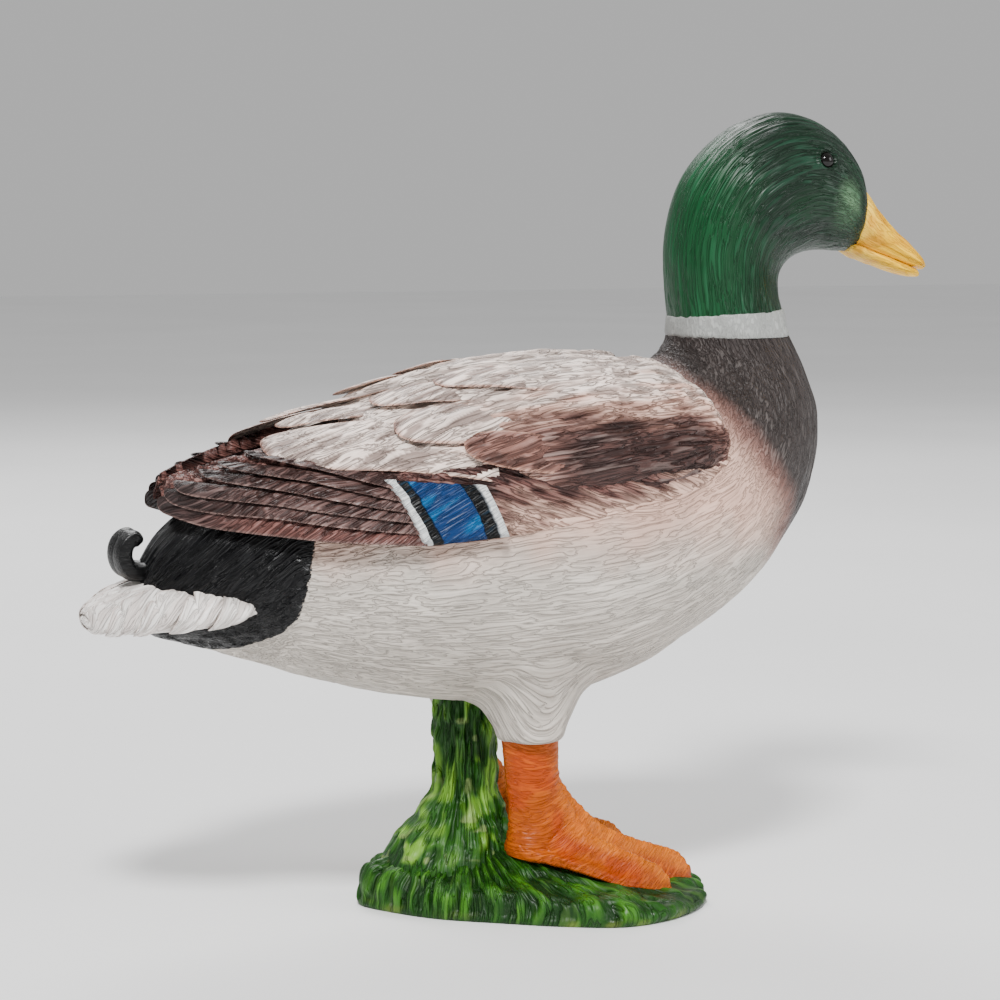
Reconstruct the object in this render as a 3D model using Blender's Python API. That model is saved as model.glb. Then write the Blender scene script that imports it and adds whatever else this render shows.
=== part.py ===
"""A mallard drake ornament: cast-resin duck, standing on a grass-covered base.

The duck faces +X. It is the same on both sides of the XZ plane, but its left leg stands further back.
The origin is the middle of the base's underside. Sizes are in millimetres, turned into metres by MM.

The body is a hollow resin casting. Head, bill, wings, tail, curls, legs, grass tuft and base are
castings of their own, joined by spigots, dowels and steel rods.
"""

import math

import bmesh
import bpy
from mathutils import Matrix, Vector

MM = 0.001
GAP = 0.3  # clearance between neighbouring pieces
PAST = 10.0  # how far a cutter runs past what it cuts
WALL = 5.0  # thickness of the body's resin shell
RING_POINTS = 20  # points round each section of a casting
SPAN_STEPS = 2  # rings from one body station to the next
LEG_X, LEG_Y = {1: -16.5, -1: -10.0}, 25.0  # each leg's axis, the left one's under 1
TUFT_X = -26.0  # the grass tuft, the tie rod and its nuts share this upright axis
THIGH_BOTTOM = 62.8
THIGH_STATIONS = ((THIGH_BOTTOM, 12), (67, 13), (73, 16.5), (80, 22.5), (92, 25.5))  # (z, radius)
THIGH_CONE = (62.0, 11.6, 84.0, 27.0)  # a cone that holds the thigh: low z, radius, high z, radius
TENON_RADIUS, TENON_BOTTOM, TENON_TOP = 5.5, 58.0, 75.0  # the leg's tenon in the thigh
ROD_RADIUS, ROD_BOTTOM, ROD_TOP = 2.0, 12.0, 88.0  # the steel rod in each leg
TIE_RADIUS, TIE_BOTTOM, TIE_TOP = 3.0, 3.6, 99.0  # the rod that ties body, tuft and base together
NUT_RADIUS, TIE_NUT, ANCHOR_NUT = 5.8, (3.8, 6.8), (91.0, 98.0)  # corner radius, then each nut's z range
WASHER_RADIUS, WASHER = 8.5, (7.1, 8.7)
BLOCK_MIDDLE, BLOCK_SIZE = 92.0, (36.0, 30.0, 14.0)  # the wooden block that takes the anchor nut
HOLLOW_END = -120.0  # the casting is solid behind this x
RING_BOTTOM, RING_TOP = 206.0, 213.6  # the white neck ring fills this joint
SPIGOT_X, SPIGOT_RADIUS, SPIGOT_BOTTOM, SPIGOT_TOP = 77.5, 14.5, 192.0, 222.0  # the head's spigot in the neck
DOWEL_RADIUS, DOWEL_TOP = 5.0, 234.0
EYE_RADIUS = 3.4
EYE_PLACE = (109.0, 17.6, 270.6)
POCKET_DEPTH = 9.0  # the hollow under the base, closed by the base plate
POCKET_SHARE = 0.52  # its size as a share of the base's outline
PLATE_THICKNESS = 3.0
PLUG_RADIUS = 9.0

# Each station of a casting is (upper x, upper z, lower x, lower z, half width, squareness).
BODY_STATIONS = (
    (-149, 121, -148, 110, 8, 2.0),
    (-146, 131, -145, 104, 17, 2.1),
    (-137, 142, -136, 101, 26, 2.1),
    (-118, 154.5, -118, 95.8, 36, 2.2),
    (-90, 165, -91, 87.2, 46, 2.3),
    (-58, 178.5, -60, 79, 54, 2.35),
    (-28, 189.5, -30, 75, 58, 2.35),
    (4, 194.5, 2, 75, 59, 2.3),
    (26, 194, 29, 82, 58, 2.25),
    (38, 194.3, 52, 93.5, 55.5, 2.2),
    (45, 195, 74.5, 107.5, 52, 2.15),
    (49.5, 196.5, 93, 126.5, 46.5, 2.1),
    (52, 199, 107.5, 150, 39, 2.05),
    (53.6, 202, 112, 174, 31, 2.0),
    (54.6, 204.2, 107.6, 191, 26, 2.0),
    (55, RING_BOTTOM, 100.8, RING_BOTTOM, 22.9, 2.0),
)
HEAD_STATIONS = (
    (55.2, RING_TOP, 98.8, RING_TOP, 21.8, 2.0),
    (54, 226, 97, 221, 21.3, 2.0),
    (53.6, 241, 96.8, 226.4, 21.2, 2.0),
    (56.6, 256.6, 98.5, 230.8, 21.6, 2.0),
    (65, 271.6, 102, 234.2, 22, 2.05),
    (78, 282.6, 106.5, 236.2, 22, 2.1),
    (93.8, 288.6, 111.5, 237.2, 21.5, 2.15),
    (108.6, 287.2, 117, 237.3, 20.2, 2.15),
    (120.6, 280.2, 122.5, 237, 17.6, 2.1),
    (128.4, 270.8, 127, 237.2, 14, 2.1),
    (132, 261, 130.5, 239, 9.5, 2.0),
)
UPPER_BILL_STATIONS = (
    (129, 257, 124, 241.4, 7, 2.3),
    (134, 257, 128, 239.4, 9.6, 2.5),
    (138.5, 251, 134, 237.8, 9.4, 2.6),
    (145, 244.7, 141, 235.4, 8.8, 2.6),
    (151.5, 239.6, 148, 232.8, 8.9, 2.6),
    (156.5, 235, 154.5, 230.4, 7.8, 2.5),
    (158.8, 232, 158, 229.7, 4.6, 2.2),
)
LOWER_BILL_STATIONS = (
    (125, 240.4, 126.5, 236.8, 6.2, 2.2),
    (128.6, 238.6, 131, 234.4, 8, 2.3),
    (134.2, 236.8, 137, 231.8, 7.8, 2.4),
    (141.2, 234.4, 144, 229.3, 7.4, 2.4),
    (148.2, 231.9, 151, 227.4, 7.4, 2.4),
    (154.2, 229.8, 156, 226.9, 5.6, 2.2),
)
TAIL_STATIONS = (
    (-112, 119, -112, 112, 34, 2.2),
    (-118, 122, -118, 108.5, 40, 2.3),
    (-132, 124, -131, 105.2, 38, 2.3),
    (-146, 124, -145, 104, 32, 2.3),
    (-158, 119.5, -157, 103.6, 24, 2.3),
    (-166, 114, -165, 105, 14, 2.2),
    (-169, 111, -168.6, 108, 6, 2.0),
)
# The leg casting from the thigh down to the ankle: (z, centre ahead of the axis, half length, half width).
SHANK_STATIONS = (
    (62.5, 0, 11, 8),
    (55, 0, 10.2, 7.4),
    (45, 0.8, 9.8, 7),
    (34, 3.5, 11, 7.4),
    (27, 6.5, 13, 8.4),
    (21, 8, 14.5, 9.2),
)
# Upright sections of the grass tuft: (z, radius).
TUFT_STATIONS = ((24, 23.5), (28.5, 19), (35, 13.5), (48, 11.3), (62, 10.6), (80, 10.4))
# The base's outline from its front round the left side to its back. The right side mirrors it.
BASE_OUTLINE = (
    (62, 0),
    (59, 25),
    (50, 46),
    (34, 60),
    (13, 66),
    (-8, 58),
    (-30, 44),
    (-48, 31),
    (-61, 15),
    (-68, 0),
)
MOUND_SHARES = (0.97, 0.87, 0.72, 0.56, 0.42, 0.3)  # rings of the grass mound, from rim to top
MOUND_TOP = 23.7
RIM_HEIGHT, RIM_FALL = 9.5, 0.06  # of the mound at x = 0, and its fall for each millimetre forwards
# Side-view outlines of the wing castings: (x, z) at the duck's side.
SCAPULAR_OUTLINE = (
    (57, 175),
    (48, 165.5),
    (31, 158.4),
    (5, 157.4),
    (-19, 157),
    (-34, 161.5),
    (-62, 165.6),
    (-92, 168),
    (-98, 173),
    (-92, 186),
    (-58, 197),
    (-10, 208),
    (28, 208),
    (46, 194),
)
COVERT_OUTLINE = (
    (-79, 165),
    (-60.5, 137.2),
    (-31, 139.5),
    (0, 145),
    (28, 151),
    (45, 162),
    (31, 157.6),
    (5, 156.6),
    (-19, 156.2),
    (-34, 160.7),
    (-62, 164.8),
)
SPECULUM_OUTLINE = ((-75.5, 162.6), (-55.5, 139.6), (-31.5, 141.8), (-41, 158.6))
# The two long tertial feathers' blade: (x, y, lower z, upper z).
TERTIAL_BLADE = ((-66, 27, 168, 179), (-86, 24, 165, 174.5), (-102, 18, 167.6, 173.5), (-110.5, 14, 170, 172.6))
FLIGHT_FEATHERS = 6
FLIGHT_THICKNESS = 4.0
# Lower edge of the lowest and of the highest flight feather, root to tip: (x, y, z).
FLIGHT_LOWEST = ((-67.5, 56.8, 138.4), (-80, 53.5, 139.9), (-98, 47, 142), (-119, 33, 145.5), (-142, 9, 150))
FLIGHT_HIGHEST = ((-84, 44, 160.6), (-88, 41, 161.4), (-98, 37, 162.6), (-108, 27, 164.5), (-119, 13, 166.5))
FLIGHT_DEPTH = 5.6  # height of one flight feather's blade
FLIGHT_TAPER = (1.0, 1.0, 1.0, 0.95, 0.75)  # share of that height at each point from root to tip
# A curled tail feather in side view, root to tip: (x, z, radius).
CURL_ROUTE = (
    (-150.2, 127.6, 3.0),
    (-152.8, 127.8, 3.2),
    (-154.4, 131, 3.2),
    (-154.2, 135, 3.1),
    (-151.6, 138.6, 2.8),
    (-148.2, 139.6, 2.0),
)
CURL_SPREAD = 4.6
# Outline of a webbed foot seen from above: (ahead, inwards), heel first and then round the outer toe.
FOOT_OUTLINE = (
    (-17, -7),
    (5, -11),
    (46, -18.5),
    (49, -14),
    (49, -6),
    (63, 0),
    (64.5, 3.5),
    (50, 8),
    (47, 16),
    (43, 17.5),
    (4, 9),
    (-17, 7),
)
TOE_TIPS = ((48, -16), (64.5, 1.5), (46, 15))
TOE_SIDES = 10
# Along a toe: (share of its length, radius, lift above the web's middle plane).
TOE_STATIONS = ((0, 8, 4), (0.4, 6.4, 4.5), (0.75, 6.2, 5.2), (0.93, 4.6, 3), (1, 1.8, 0.6))
FOOT_SLOPE = math.radians(12.5)
HEEL_HEIGHT = 20.5  # of the web's middle plane, at the right leg's axis


def clear_scene():
    for thing in list(bpy.data.objects):
        bpy.data.objects.remove(thing)


def collection(name):
    made = bpy.data.collections.new(name)
    bpy.context.scene.collection.children.link(made)
    return made


def metres(x, y, z):
    return Vector((x, y, z)) * MM


def paint(name, colour, roughness, metallic=0.0):
    """A plain Principled material, made once for each name."""
    material = bpy.data.materials.get(name)
    if material is None:
        material = bpy.data.materials.new(name)
        material.use_nodes = True
        shader = material.node_tree.nodes["Principled BSDF"]
        shader.inputs["Base Color"].default_value = (*colour, 1.0)
        shader.inputs["Roughness"].default_value = roughness
        shader.inputs["Metallic"].default_value = metallic
    return material


def body_paint():
    return paint("belly_white", (0.62, 0.58, 0.54), 0.55)


def green_paint():
    return paint("head_green", (0.01, 0.16, 0.06), 0.35)


def white_paint():
    return paint("feather_white", (0.72, 0.7, 0.66), 0.5)


def yellow_paint():
    return paint("bill_yellow", (0.82, 0.5, 0.04), 0.4)


def orange_paint():
    return paint("leg_orange", (0.78, 0.24, 0.02), 0.4)


def black_paint():
    return paint("tail_black", (0.01, 0.01, 0.012), 0.35)


def pink_paint():
    return paint("scapular_cream", (0.6, 0.47, 0.42), 0.5)


def brown_paint():
    return paint("flight_brown", (0.12, 0.07, 0.055), 0.45)


def blue_paint():
    return paint("speculum_blue", (0.01, 0.16, 0.45), 0.4)


def grass_paint():
    return paint("grass_green", (0.05, 0.2, 0.03), 0.5)


def steel():
    return paint("zinc_steel", (0.55, 0.55, 0.57), 0.35, 1.0)


def wood():
    return paint("hardwood", (0.45, 0.28, 0.14), 0.7)


def object_of(shape, name, material, where):
    """A new object that holds the bmesh, with its faces pointing out."""
    bmesh.ops.recalc_face_normals(shape, faces=shape.faces)
    mesh = bpy.data.meshes.new(name)
    shape.to_mesh(mesh)
    shape.free()
    mesh.materials.append(material)
    mesh.shade_smooth()
    mesh.set_sharp_from_angle(angle=math.radians(40))
    made = bpy.data.objects.new(name, mesh)
    where.objects.link(made)
    if where is CUTTERS:
        made.hide_render = True
        made.display_type = "WIRE"
    return made


def smooth_stations(stations, steps):
    """Catmull-Rom curve through the stations, number by number, with `steps` rings to a span."""
    last = len(stations) - 1
    rings = []
    for span in range(last):
        a, b, c, d = (stations[min(max(span + k, 0), last)] for k in (-1, 0, 1, 2))
        for step in range(steps):
            t = step / steps
            rings.append(
                tuple(
                    0.5 * (2 * q + (r - p) * t + (2 * p - 5 * q + 4 * r - s) * t**2 + (3 * q - p - 3 * r + s) * t**3)
                    for p, q, r, s in zip(a, b, c, d)
                )
            )
    rings.append(stations[last])
    return rings


def section(station, grow):
    """Superellipse between the upper and the lower point of a station, in their upright plane.

    `grow` pushes the outline out on all sides.
    """
    upper_x, upper_z, lower_x, lower_z, half_width, squareness = station
    centre = Vector(((upper_x + lower_x) / 2, 0, (upper_z + lower_z) / 2))
    up = Vector(((upper_x - lower_x) / 2, 0, (upper_z - lower_z) / 2))
    up += up.normalized() * grow
    points = []
    for k in range(RING_POINTS):
        angle = 2 * math.pi * k / RING_POINTS
        rise = math.copysign(abs(math.cos(angle)) ** (2 / squareness), math.cos(angle))
        spread = math.copysign(abs(math.sin(angle)) ** (2 / squareness), math.sin(angle))
        points.append((centre + up * rise + Vector((0, (half_width + grow) * spread, 0))) * MM)
    return points


def skin_rings(name, rings, material, where):
    """A closed casting through rings of equally many points. Both end rings are capped."""
    shape = bmesh.new()
    loops = [[shape.verts.new(point) for point in ring] for ring in rings]
    count = len(loops[0])
    for near, far in zip(loops, loops[1:]):
        for k in range(count):
            after = (k + 1) % count
            shape.faces.new((near[k], near[after], far[after], far[k]))
    shape.faces.new(loops[0])
    shape.faces.new(loops[-1])
    return object_of(shape, name, material, where)


def casting(name, stations, material, where, grow=0.0, steps=SPAN_STEPS, lengthen=0.0):
    """Loft of a station list. `lengthen` moves both end stations outwards along the casting."""
    stations = [list(station) for station in stations]
    for end, inner in ((0, 1), (-1, -2)):
        for pair in ((0, 1), (2, 3)):
            reach = Vector([stations[end][i] - stations[inner][i] for i in pair])
            for i, share in zip(pair, reach.normalized()):
                stations[end][i] += share * lengthen
    rings = [section(station, grow) for station in smooth_stations(stations, steps)]
    return skin_rings(name, rings, material, where)


def cylinder(name, radius, bottom, top, x, y, material, where, sides=24, top_radius=None):
    """An upright cylinder or cone on the axis at x, y."""
    shape = bmesh.new()
    bmesh.ops.create_cone(
        shape,
        cap_ends=True,
        segments=sides,
        radius1=radius * MM,
        radius2=(radius if top_radius is None else top_radius) * MM,
        depth=(top - bottom) * MM,
        matrix=Matrix.Translation(metres(x, y, (bottom + top) / 2)),
    )
    return object_of(shape, name, material, where)


def cutter(name, radius, bottom, top, x, y, sides=24):
    return cylinder(name, radius, bottom, top, x, y, body_paint(), CUTTERS, sides)


def combine(target, other, operation):
    modifier = target.modifiers.new(operation.lower() + "_" + other.name, "BOOLEAN")
    modifier.operation = operation
    modifier.solver = "EXACT"
    modifier.object = other


def cut(target, *cutters):
    for other in cutters:
        combine(target, other, "DIFFERENCE")


def join(target, *others):
    for other in others:
        combine(target, other, "UNION")


def outline_prism(name, outline, side, inner, outer, material, where):
    """A side-view outline carried sideways from |y| = inner to |y| = outer."""
    ends = [[metres(x, side * reach, z) for x, z in outline] for reach in (inner, outer)]
    return skin_rings(name, ends, material, where)


def body_layer(name, outline, side, inner, outer, material, addition=None):
    """A sheet that hugs the body's side: what lies in the outline, from inner to outer above the body.

    An addition is joined to the sheet before the body's room is cut out of both.
    """
    sheet = casting(name, BODY_STATIONS, material, PARTS, grow=outer)
    window = outline_prism(name + "_window", outline, side, 9, 90, material, CUTTERS)
    core = casting(name + "_core", BODY_STATIONS, material, CUTTERS, grow=inner, lengthen=5)
    combine(sheet, window, "INTERSECT")
    if addition:
        join(sheet, addition)
    cut(sheet, core)
    return sheet


def blade(name, stations, thickness, material, where):
    """A feather blade: a flat four-sided section carried along (x, y, lower z, upper z) stations."""
    rings = []
    for x, y, low, high in stations:
        out = math.copysign(thickness / 2, y)
        rings.append([metres(x, y + out * a, z) for a, z in ((-1, low), (1, low), (0.6, high), (-1, high))])
    return skin_rings(name, rings, material, where)


def side_name(side):
    return "left" if side > 0 else "right"


def thigh(name, side):
    """The feathered thigh: round sections that widen upwards into the belly."""
    rings = [
        [
            metres(LEG_X[side] + radius * math.cos(turn), side * LEG_Y + radius * 0.9 * math.sin(turn), z)
            for turn in (2 * math.pi * k / RING_POINTS for k in range(RING_POINTS))
        ]
        for z, radius in THIGH_STATIONS
    ]
    return skin_rings(name, rings, body_paint(), CUTTERS)


def make_body():
    """Hollow casting with thighs, open at the neck, with sockets for the legs and holes for the rods."""
    shell = casting("body_shell", BODY_STATIONS, body_paint(), PARTS)
    join(shell, *(thigh(f"thigh_{side_name(side)}", side) for side in (1, -1)))
    hollow_stations = [station for station in BODY_STATIONS if station[0] > HOLLOW_END]
    hollow = casting("hollow", hollow_stations, body_paint(), CUTTERS, grow=-WALL)
    neck_bore = cutter("neck_bore", SPIGOT_RADIUS + GAP, SPIGOT_BOTTOM - PAST, RING_TOP + PAST, SPIGOT_X, 0)
    tie_hole = cutter("tie_hole", TIE_RADIUS + GAP, THIGH_BOTTOM, TIE_TOP, TUFT_X, 0, 16)
    cut(shell, hollow, neck_bore, tie_hole)
    for side in (1, -1):
        name, x, y = side_name(side), LEG_X[side], side * LEG_Y
        below = THIGH_BOTTOM - PAST
        cut(shell, cutter(f"leg_socket_{name}", TENON_RADIUS + GAP, below, TENON_TOP + GAP, x, y))
        cut(shell, cutter(f"rod_hole_{name}", ROD_RADIUS + GAP, below, ROD_TOP + GAP, x, y, 12))


def box_shape(name, x, y, z, long, wide, high, material, where):
    shape = bmesh.new()
    bmesh.ops.create_cube(
        shape,
        size=MM,
        matrix=Matrix.Translation(metres(x, y, z)) @ Matrix.Diagonal((long, wide, high, 1)),
    )
    return object_of(shape, name, material, where)


def make_head():
    """Head casting on its neck spigot, with sockets for bill, eyes and dowel, and the ring below it."""
    head = casting("head_casting", HEAD_STATIONS, green_paint(), PARTS)
    join(head, cylinder("spigot", SPIGOT_RADIUS, SPIGOT_BOTTOM, SPIGOT_TOP, SPIGOT_X, 0, green_paint(), CUTTERS))
    upper_room = casting("upper_bill_room", UPPER_BILL_STATIONS, yellow_paint(), CUTTERS, grow=GAP, lengthen=GAP)
    lower_room = casting("lower_bill_room", LOWER_BILL_STATIONS, yellow_paint(), CUTTERS, grow=GAP, lengthen=GAP)
    dowel_hole = cutter("dowel_hole", DOWEL_RADIUS + GAP, SPIGOT_BOTTOM - PAST, DOWEL_TOP + GAP, SPIGOT_X, 0, 16)
    cut(head, upper_room, lower_room, dowel_hole)
    for side in (1, -1):
        cut(head, eyeball(f"eye_socket_{side_name(side)}", side, EYE_RADIUS + GAP, CUTTERS))
        eyeball(f"{side_name(side)}_eye", side, EYE_RADIUS, PARTS)
    ring_stations = (
        (55.1, RING_BOTTOM + GAP, 100.6, RING_BOTTOM + GAP, 22.8, 2.0),
        (54.8, 210, 99.9, 210, 22.6, 2.0),
        (55.3, RING_TOP - GAP, 98.9, RING_TOP - GAP, 21.9, 2.0),
    )
    ring = casting("neck_ring", ring_stations, white_paint(), PARTS, steps=1)
    cut(ring, cutter("ring_bore", SPIGOT_RADIUS + GAP, RING_BOTTOM - PAST, RING_TOP + PAST, SPIGOT_X, 0))
    cylinder("neck_dowel", DOWEL_RADIUS, SPIGOT_BOTTOM, DOWEL_TOP, SPIGOT_X, 0, wood(), PARTS, 16)


def eyeball(name, side, radius, where):
    x, y, z = EYE_PLACE
    shape = bmesh.new()
    bmesh.ops.create_uvsphere(
        shape, u_segments=12, v_segments=8, radius=radius * MM, matrix=Matrix.Translation(metres(x, side * y, z))
    )
    return object_of(shape, name, paint("eye_glass", (0.01, 0.008, 0.008), 0.05), where)


def make_bill():
    casting("upper_bill", UPPER_BILL_STATIONS, yellow_paint(), PARTS)
    lower = casting("lower_bill", LOWER_BILL_STATIONS, yellow_paint(), PARTS)
    cut(lower, casting("bill_parting", UPPER_BILL_STATIONS, yellow_paint(), CUTTERS, grow=GAP, lengthen=GAP))


def make_wing(side):
    """Scapular, covert, speculum and flight-feather castings of one wing."""
    name = side_name(side)
    tertials = blade(
        f"{name}_tertial_blade", [(x, side * y, a, b) for x, y, a, b in TERTIAL_BLADE], 4, pink_paint(), CUTTERS
    )
    body_layer(f"{name}_scapulars", SCAPULAR_OUTLINE, side, GAP, 6.0, pink_paint(), tertials)
    body_layer(f"{name}_coverts", COVERT_OUTLINE, side, GAP, 4.3, brown_paint())
    body_layer(f"{name}_speculum", SPECULUM_OUTLINE, side, 4.6, 5.8, blue_paint())
    feathers = []
    for k in range(FLIGHT_FEATHERS):
        share = k / (FLIGHT_FEATHERS - 1)
        line = [
            [low + (high - low) * share for low, high in zip(first, last)]
            for first, last in zip(FLIGHT_LOWEST, FLIGHT_HIGHEST)
        ]
        stations = [(x, side * y, z, z + FLIGHT_DEPTH * taper) for (x, y, z), taper in zip(line, FLIGHT_TAPER)]
        where = PARTS if k == 0 else CUTTERS
        label = f"{name}_primaries" if k == 0 else f"{name}_primary_{k}"
        feathers.append(blade(label, stations, FLIGHT_THICKNESS, brown_paint(), where))
    join(feathers[0], *feathers[1:])


def make_tail():
    """White tail fan that grips the rump, and the drake's two curled feathers on top of it."""
    fan = casting("tail_fan", TAIL_STATIONS, white_paint(), PARTS)
    cut(fan, casting("rump_room", BODY_STATIONS, white_paint(), CUTTERS, grow=GAP, lengthen=GAP))
    for side in (1, -1):
        make_curl(side)


def make_curl(side):
    """A tapered tube that rises from the tail and hooks forwards."""
    points = smooth_stations(CURL_ROUTE, 2)
    curve = bpy.data.curves.new(f"{side_name(side)}_tail_curl", "CURVE")
    curve.dimensions = "3D"
    curve.bevel_depth = MM
    curve.bevel_resolution = 2
    curve.use_fill_caps = True
    spline = curve.splines.new("POLY")
    spline.points.add(len(points) - 1)
    for point, (x, z, radius) in zip(spline.points, points):
        point.co = (*metres(x, side * CURL_SPREAD, z), 1)
        point.radius = radius
    curve.materials.append(black_paint())
    PARTS.objects.link(bpy.data.objects.new(curve.name, curve))


def oval_ring(z, x, y, half_long, half_wide, squareness=2.6):
    points = []
    for k in range(RING_POINTS):
        angle = 2 * math.pi * k / RING_POINTS
        along = math.copysign(abs(math.cos(angle)) ** (2 / squareness), math.cos(angle))
        across = math.copysign(abs(math.sin(angle)) ** (2 / squareness), math.sin(angle))
        points.append(metres(x + half_long * along, y + half_wide * across, z))
    return points


def leg_pieces(side, grow, where, name, headroom=0.0):
    """The leg's shank with a web plate and three toes joined to it, all pushed out by `grow`.

    `headroom` carries the web plate straight up, for cutting away what would lie on the foot.
    """
    x, y = LEG_X[side], side * LEG_Y
    shank = skin_rings(
        name,
        [oval_ring(z, x + ahead, y, a + grow, b + grow) for z, ahead, a, b in SHANK_STATIONS],
        orange_paint(),
        where,
    )
    heel = HEEL_HEIGHT + (LEG_X[-1] - x) * math.tan(FOOT_SLOPE)
    slope = Matrix.Translation(metres(x, y, heel)) @ Matrix.Rotation(FOOT_SLOPE, 4, "Y")
    middle = Vector((20, 0, 0))
    web_rings = []
    for height, lift in ((-2 - grow, 0), (2 + grow, headroom)):
        ring = []
        for ahead, inwards in FOOT_OUTLINE:
            point = Vector((ahead, side * -inwards, 0))
            point += (point - middle).normalized() * (grow + 0.06 * headroom)
            ring.append(slope @ metres(point.x, point.y, height) + metres(0, 0, lift))
        web_rings.append(ring)
    join(shank, skin_rings(f"{name}_web", web_rings, orange_paint(), CUTTERS))
    for k, (tip_x, tip_y) in enumerate(TOE_TIPS):
        tip = Vector((tip_x, side * -tip_y, 0))
        along = tip.normalized()
        across = Vector((-along.y, along.x, 0))
        rings = []
        for share, radius, lift in TOE_STATIONS:
            centre = along * (tip.length + grow) * share + Vector((0, 0, lift))
            ring = []
            for n in range(TOE_SIDES):
                angle = 2 * math.pi * n / TOE_SIDES
                rim = across * math.cos(angle) + Vector((0, 0, math.sin(angle)))
                ring.append(slope @ ((centre + rim * (radius + grow)) * MM))
            rings.append(ring)
        join(shank, skin_rings(f"{name}_toe_{k}", rings, orange_paint(), CUTTERS))
    return shank


def make_leg(side):
    """Leg casting with a tenon for the thigh, bored for the steel rod that runs up through it."""
    name = side_name(side)
    leg = leg_pieces(side, 0.0, PARTS, f"{name}_leg")
    x, y = LEG_X[side], side * LEG_Y
    join(leg, cylinder(f"{name}_tenon", TENON_RADIUS, TENON_BOTTOM, TENON_TOP, x, y, orange_paint(), CUTTERS))
    cut(leg, cutter(f"{name}_leg_bore", ROD_RADIUS + GAP, ROD_BOTTOM - PAST, TENON_TOP + PAST, x, y, 12))
    cylinder(f"{name}_leg_rod", ROD_RADIUS, ROD_BOTTOM, ROD_TOP, x, y, steel(), PARTS, 12)


def base_ring(share, z, inset=0.0):
    """The base's outline as a closed ring, shrunk towards the tie rod's axis."""
    half = smooth_stations(BASE_OUTLINE, 2)
    outline = half + [(x, -y) for x, y in half[-2:0:-1]]
    centre = Vector((TUFT_X, 0, 0))
    ring = []
    for x, y in outline:
        out = Vector((x, y, 0)) - centre
        out = out * share - out.normalized() * inset
        ring.append((centre + out + Vector((0, 0, z))) * MM)
    return ring


def mound_height(x, share):
    """The mound climbs steeply behind the feet and gently in front of them."""
    rim = RIM_HEIGHT - RIM_FALL * x
    climb = (MOUND_SHARES[0] - share) / (MOUND_SHARES[0] - MOUND_SHARES[-1])
    return rim + (MOUND_TOP - rim) * climb ** (1.5 + x / 60)


def make_base():
    """Grass base with its pocket, ballast, closing plate and plug."""
    rings = [base_ring(0.975, 0), base_ring(1.0, 3)]
    for share in MOUND_SHARES:
        ring = base_ring(share, 0)
        for point in ring:
            point.z = mound_height(point.x / MM, share) * MM
        rings.append(ring)
    base = skin_rings("grass_base", rings, grass_paint(), PARTS)
    pocket_rings = [base_ring(POCKET_SHARE, z) for z in (-PAST, POCKET_DEPTH)]
    pocket = skin_rings("pocket", pocket_rings, grass_paint(), CUTTERS)
    cut(base, pocket, cutter("base_tie_hole", TIE_RADIUS + GAP, 0, MOUND_TOP + PAST, TUFT_X, 0, 16))
    for side in (1, -1):
        cut(base, leg_pieces(side, GAP, CUTTERS, f"foot_room_{side_name(side)}", headroom=20.0))
        rod_room = (ROD_RADIUS + GAP, ROD_BOTTOM - GAP, MOUND_TOP + PAST, LEG_X[side], side * LEG_Y, 12)
        cut(base, cutter(f"base_rod_hole_{side_name(side)}", *rod_room))
    plate_rings = [base_ring(POCKET_SHARE, z, GAP) for z in (0, PLATE_THICKNESS)]
    plate = skin_rings("base_plate", plate_rings, paint("base_board", (0.12, 0.11, 0.1), 0.8), PARTS)
    cut(plate, cutter("plug_hole", PLUG_RADIUS + GAP, -PAST, PLATE_THICKNESS + PAST, TUFT_X, 0))
    rubber = paint("rubber", (0.02, 0.02, 0.02), 0.8)
    cylinder("access_plug", PLUG_RADIUS, 0, PLATE_THICKNESS, TUFT_X, 0, rubber, PARTS)
    ballast_rings = [base_ring(POCKET_SHARE, z, GAP) for z in (PLATE_THICKNESS + GAP, POCKET_DEPTH - GAP)]
    ballast = skin_rings("base_ballast", ballast_rings, paint("ballast", (0.3, 0.28, 0.25), 0.9), PARTS)
    cut(ballast, cutter("nut_room", PLUG_RADIUS + GAP, 0, POCKET_DEPTH + PAST, TUFT_X, 0))


def make_tuft():
    """Grass tuft under the belly. The tie rod runs up through it into a block in the body."""
    tuft = skin_rings(
        "grass_tuft",
        [oval_ring(z, TUFT_X, 0, radius, radius * 0.96, 2.0) for z, radius in TUFT_STATIONS],
        grass_paint(),
        PARTS,
    )
    cut(tuft, casting("belly_room", BODY_STATIONS, grass_paint(), CUTTERS, grow=GAP))
    cut(tuft, cutter("tuft_bore", TIE_RADIUS + GAP, 0, TIE_TOP, TUFT_X, 0, 16))
    low, low_radius, high, high_radius = THIGH_CONE
    for side in (1, -1):
        cut(tuft, leg_pieces(side, GAP, CUTTERS, f"leg_room_{side_name(side)}"))
        cone = (low_radius + GAP, low, high, LEG_X[side], side * LEG_Y, grass_paint(), CUTTERS, 24, high_radius)
        cut(tuft, cylinder(f"thigh_room_{side_name(side)}", *cone))


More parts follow.
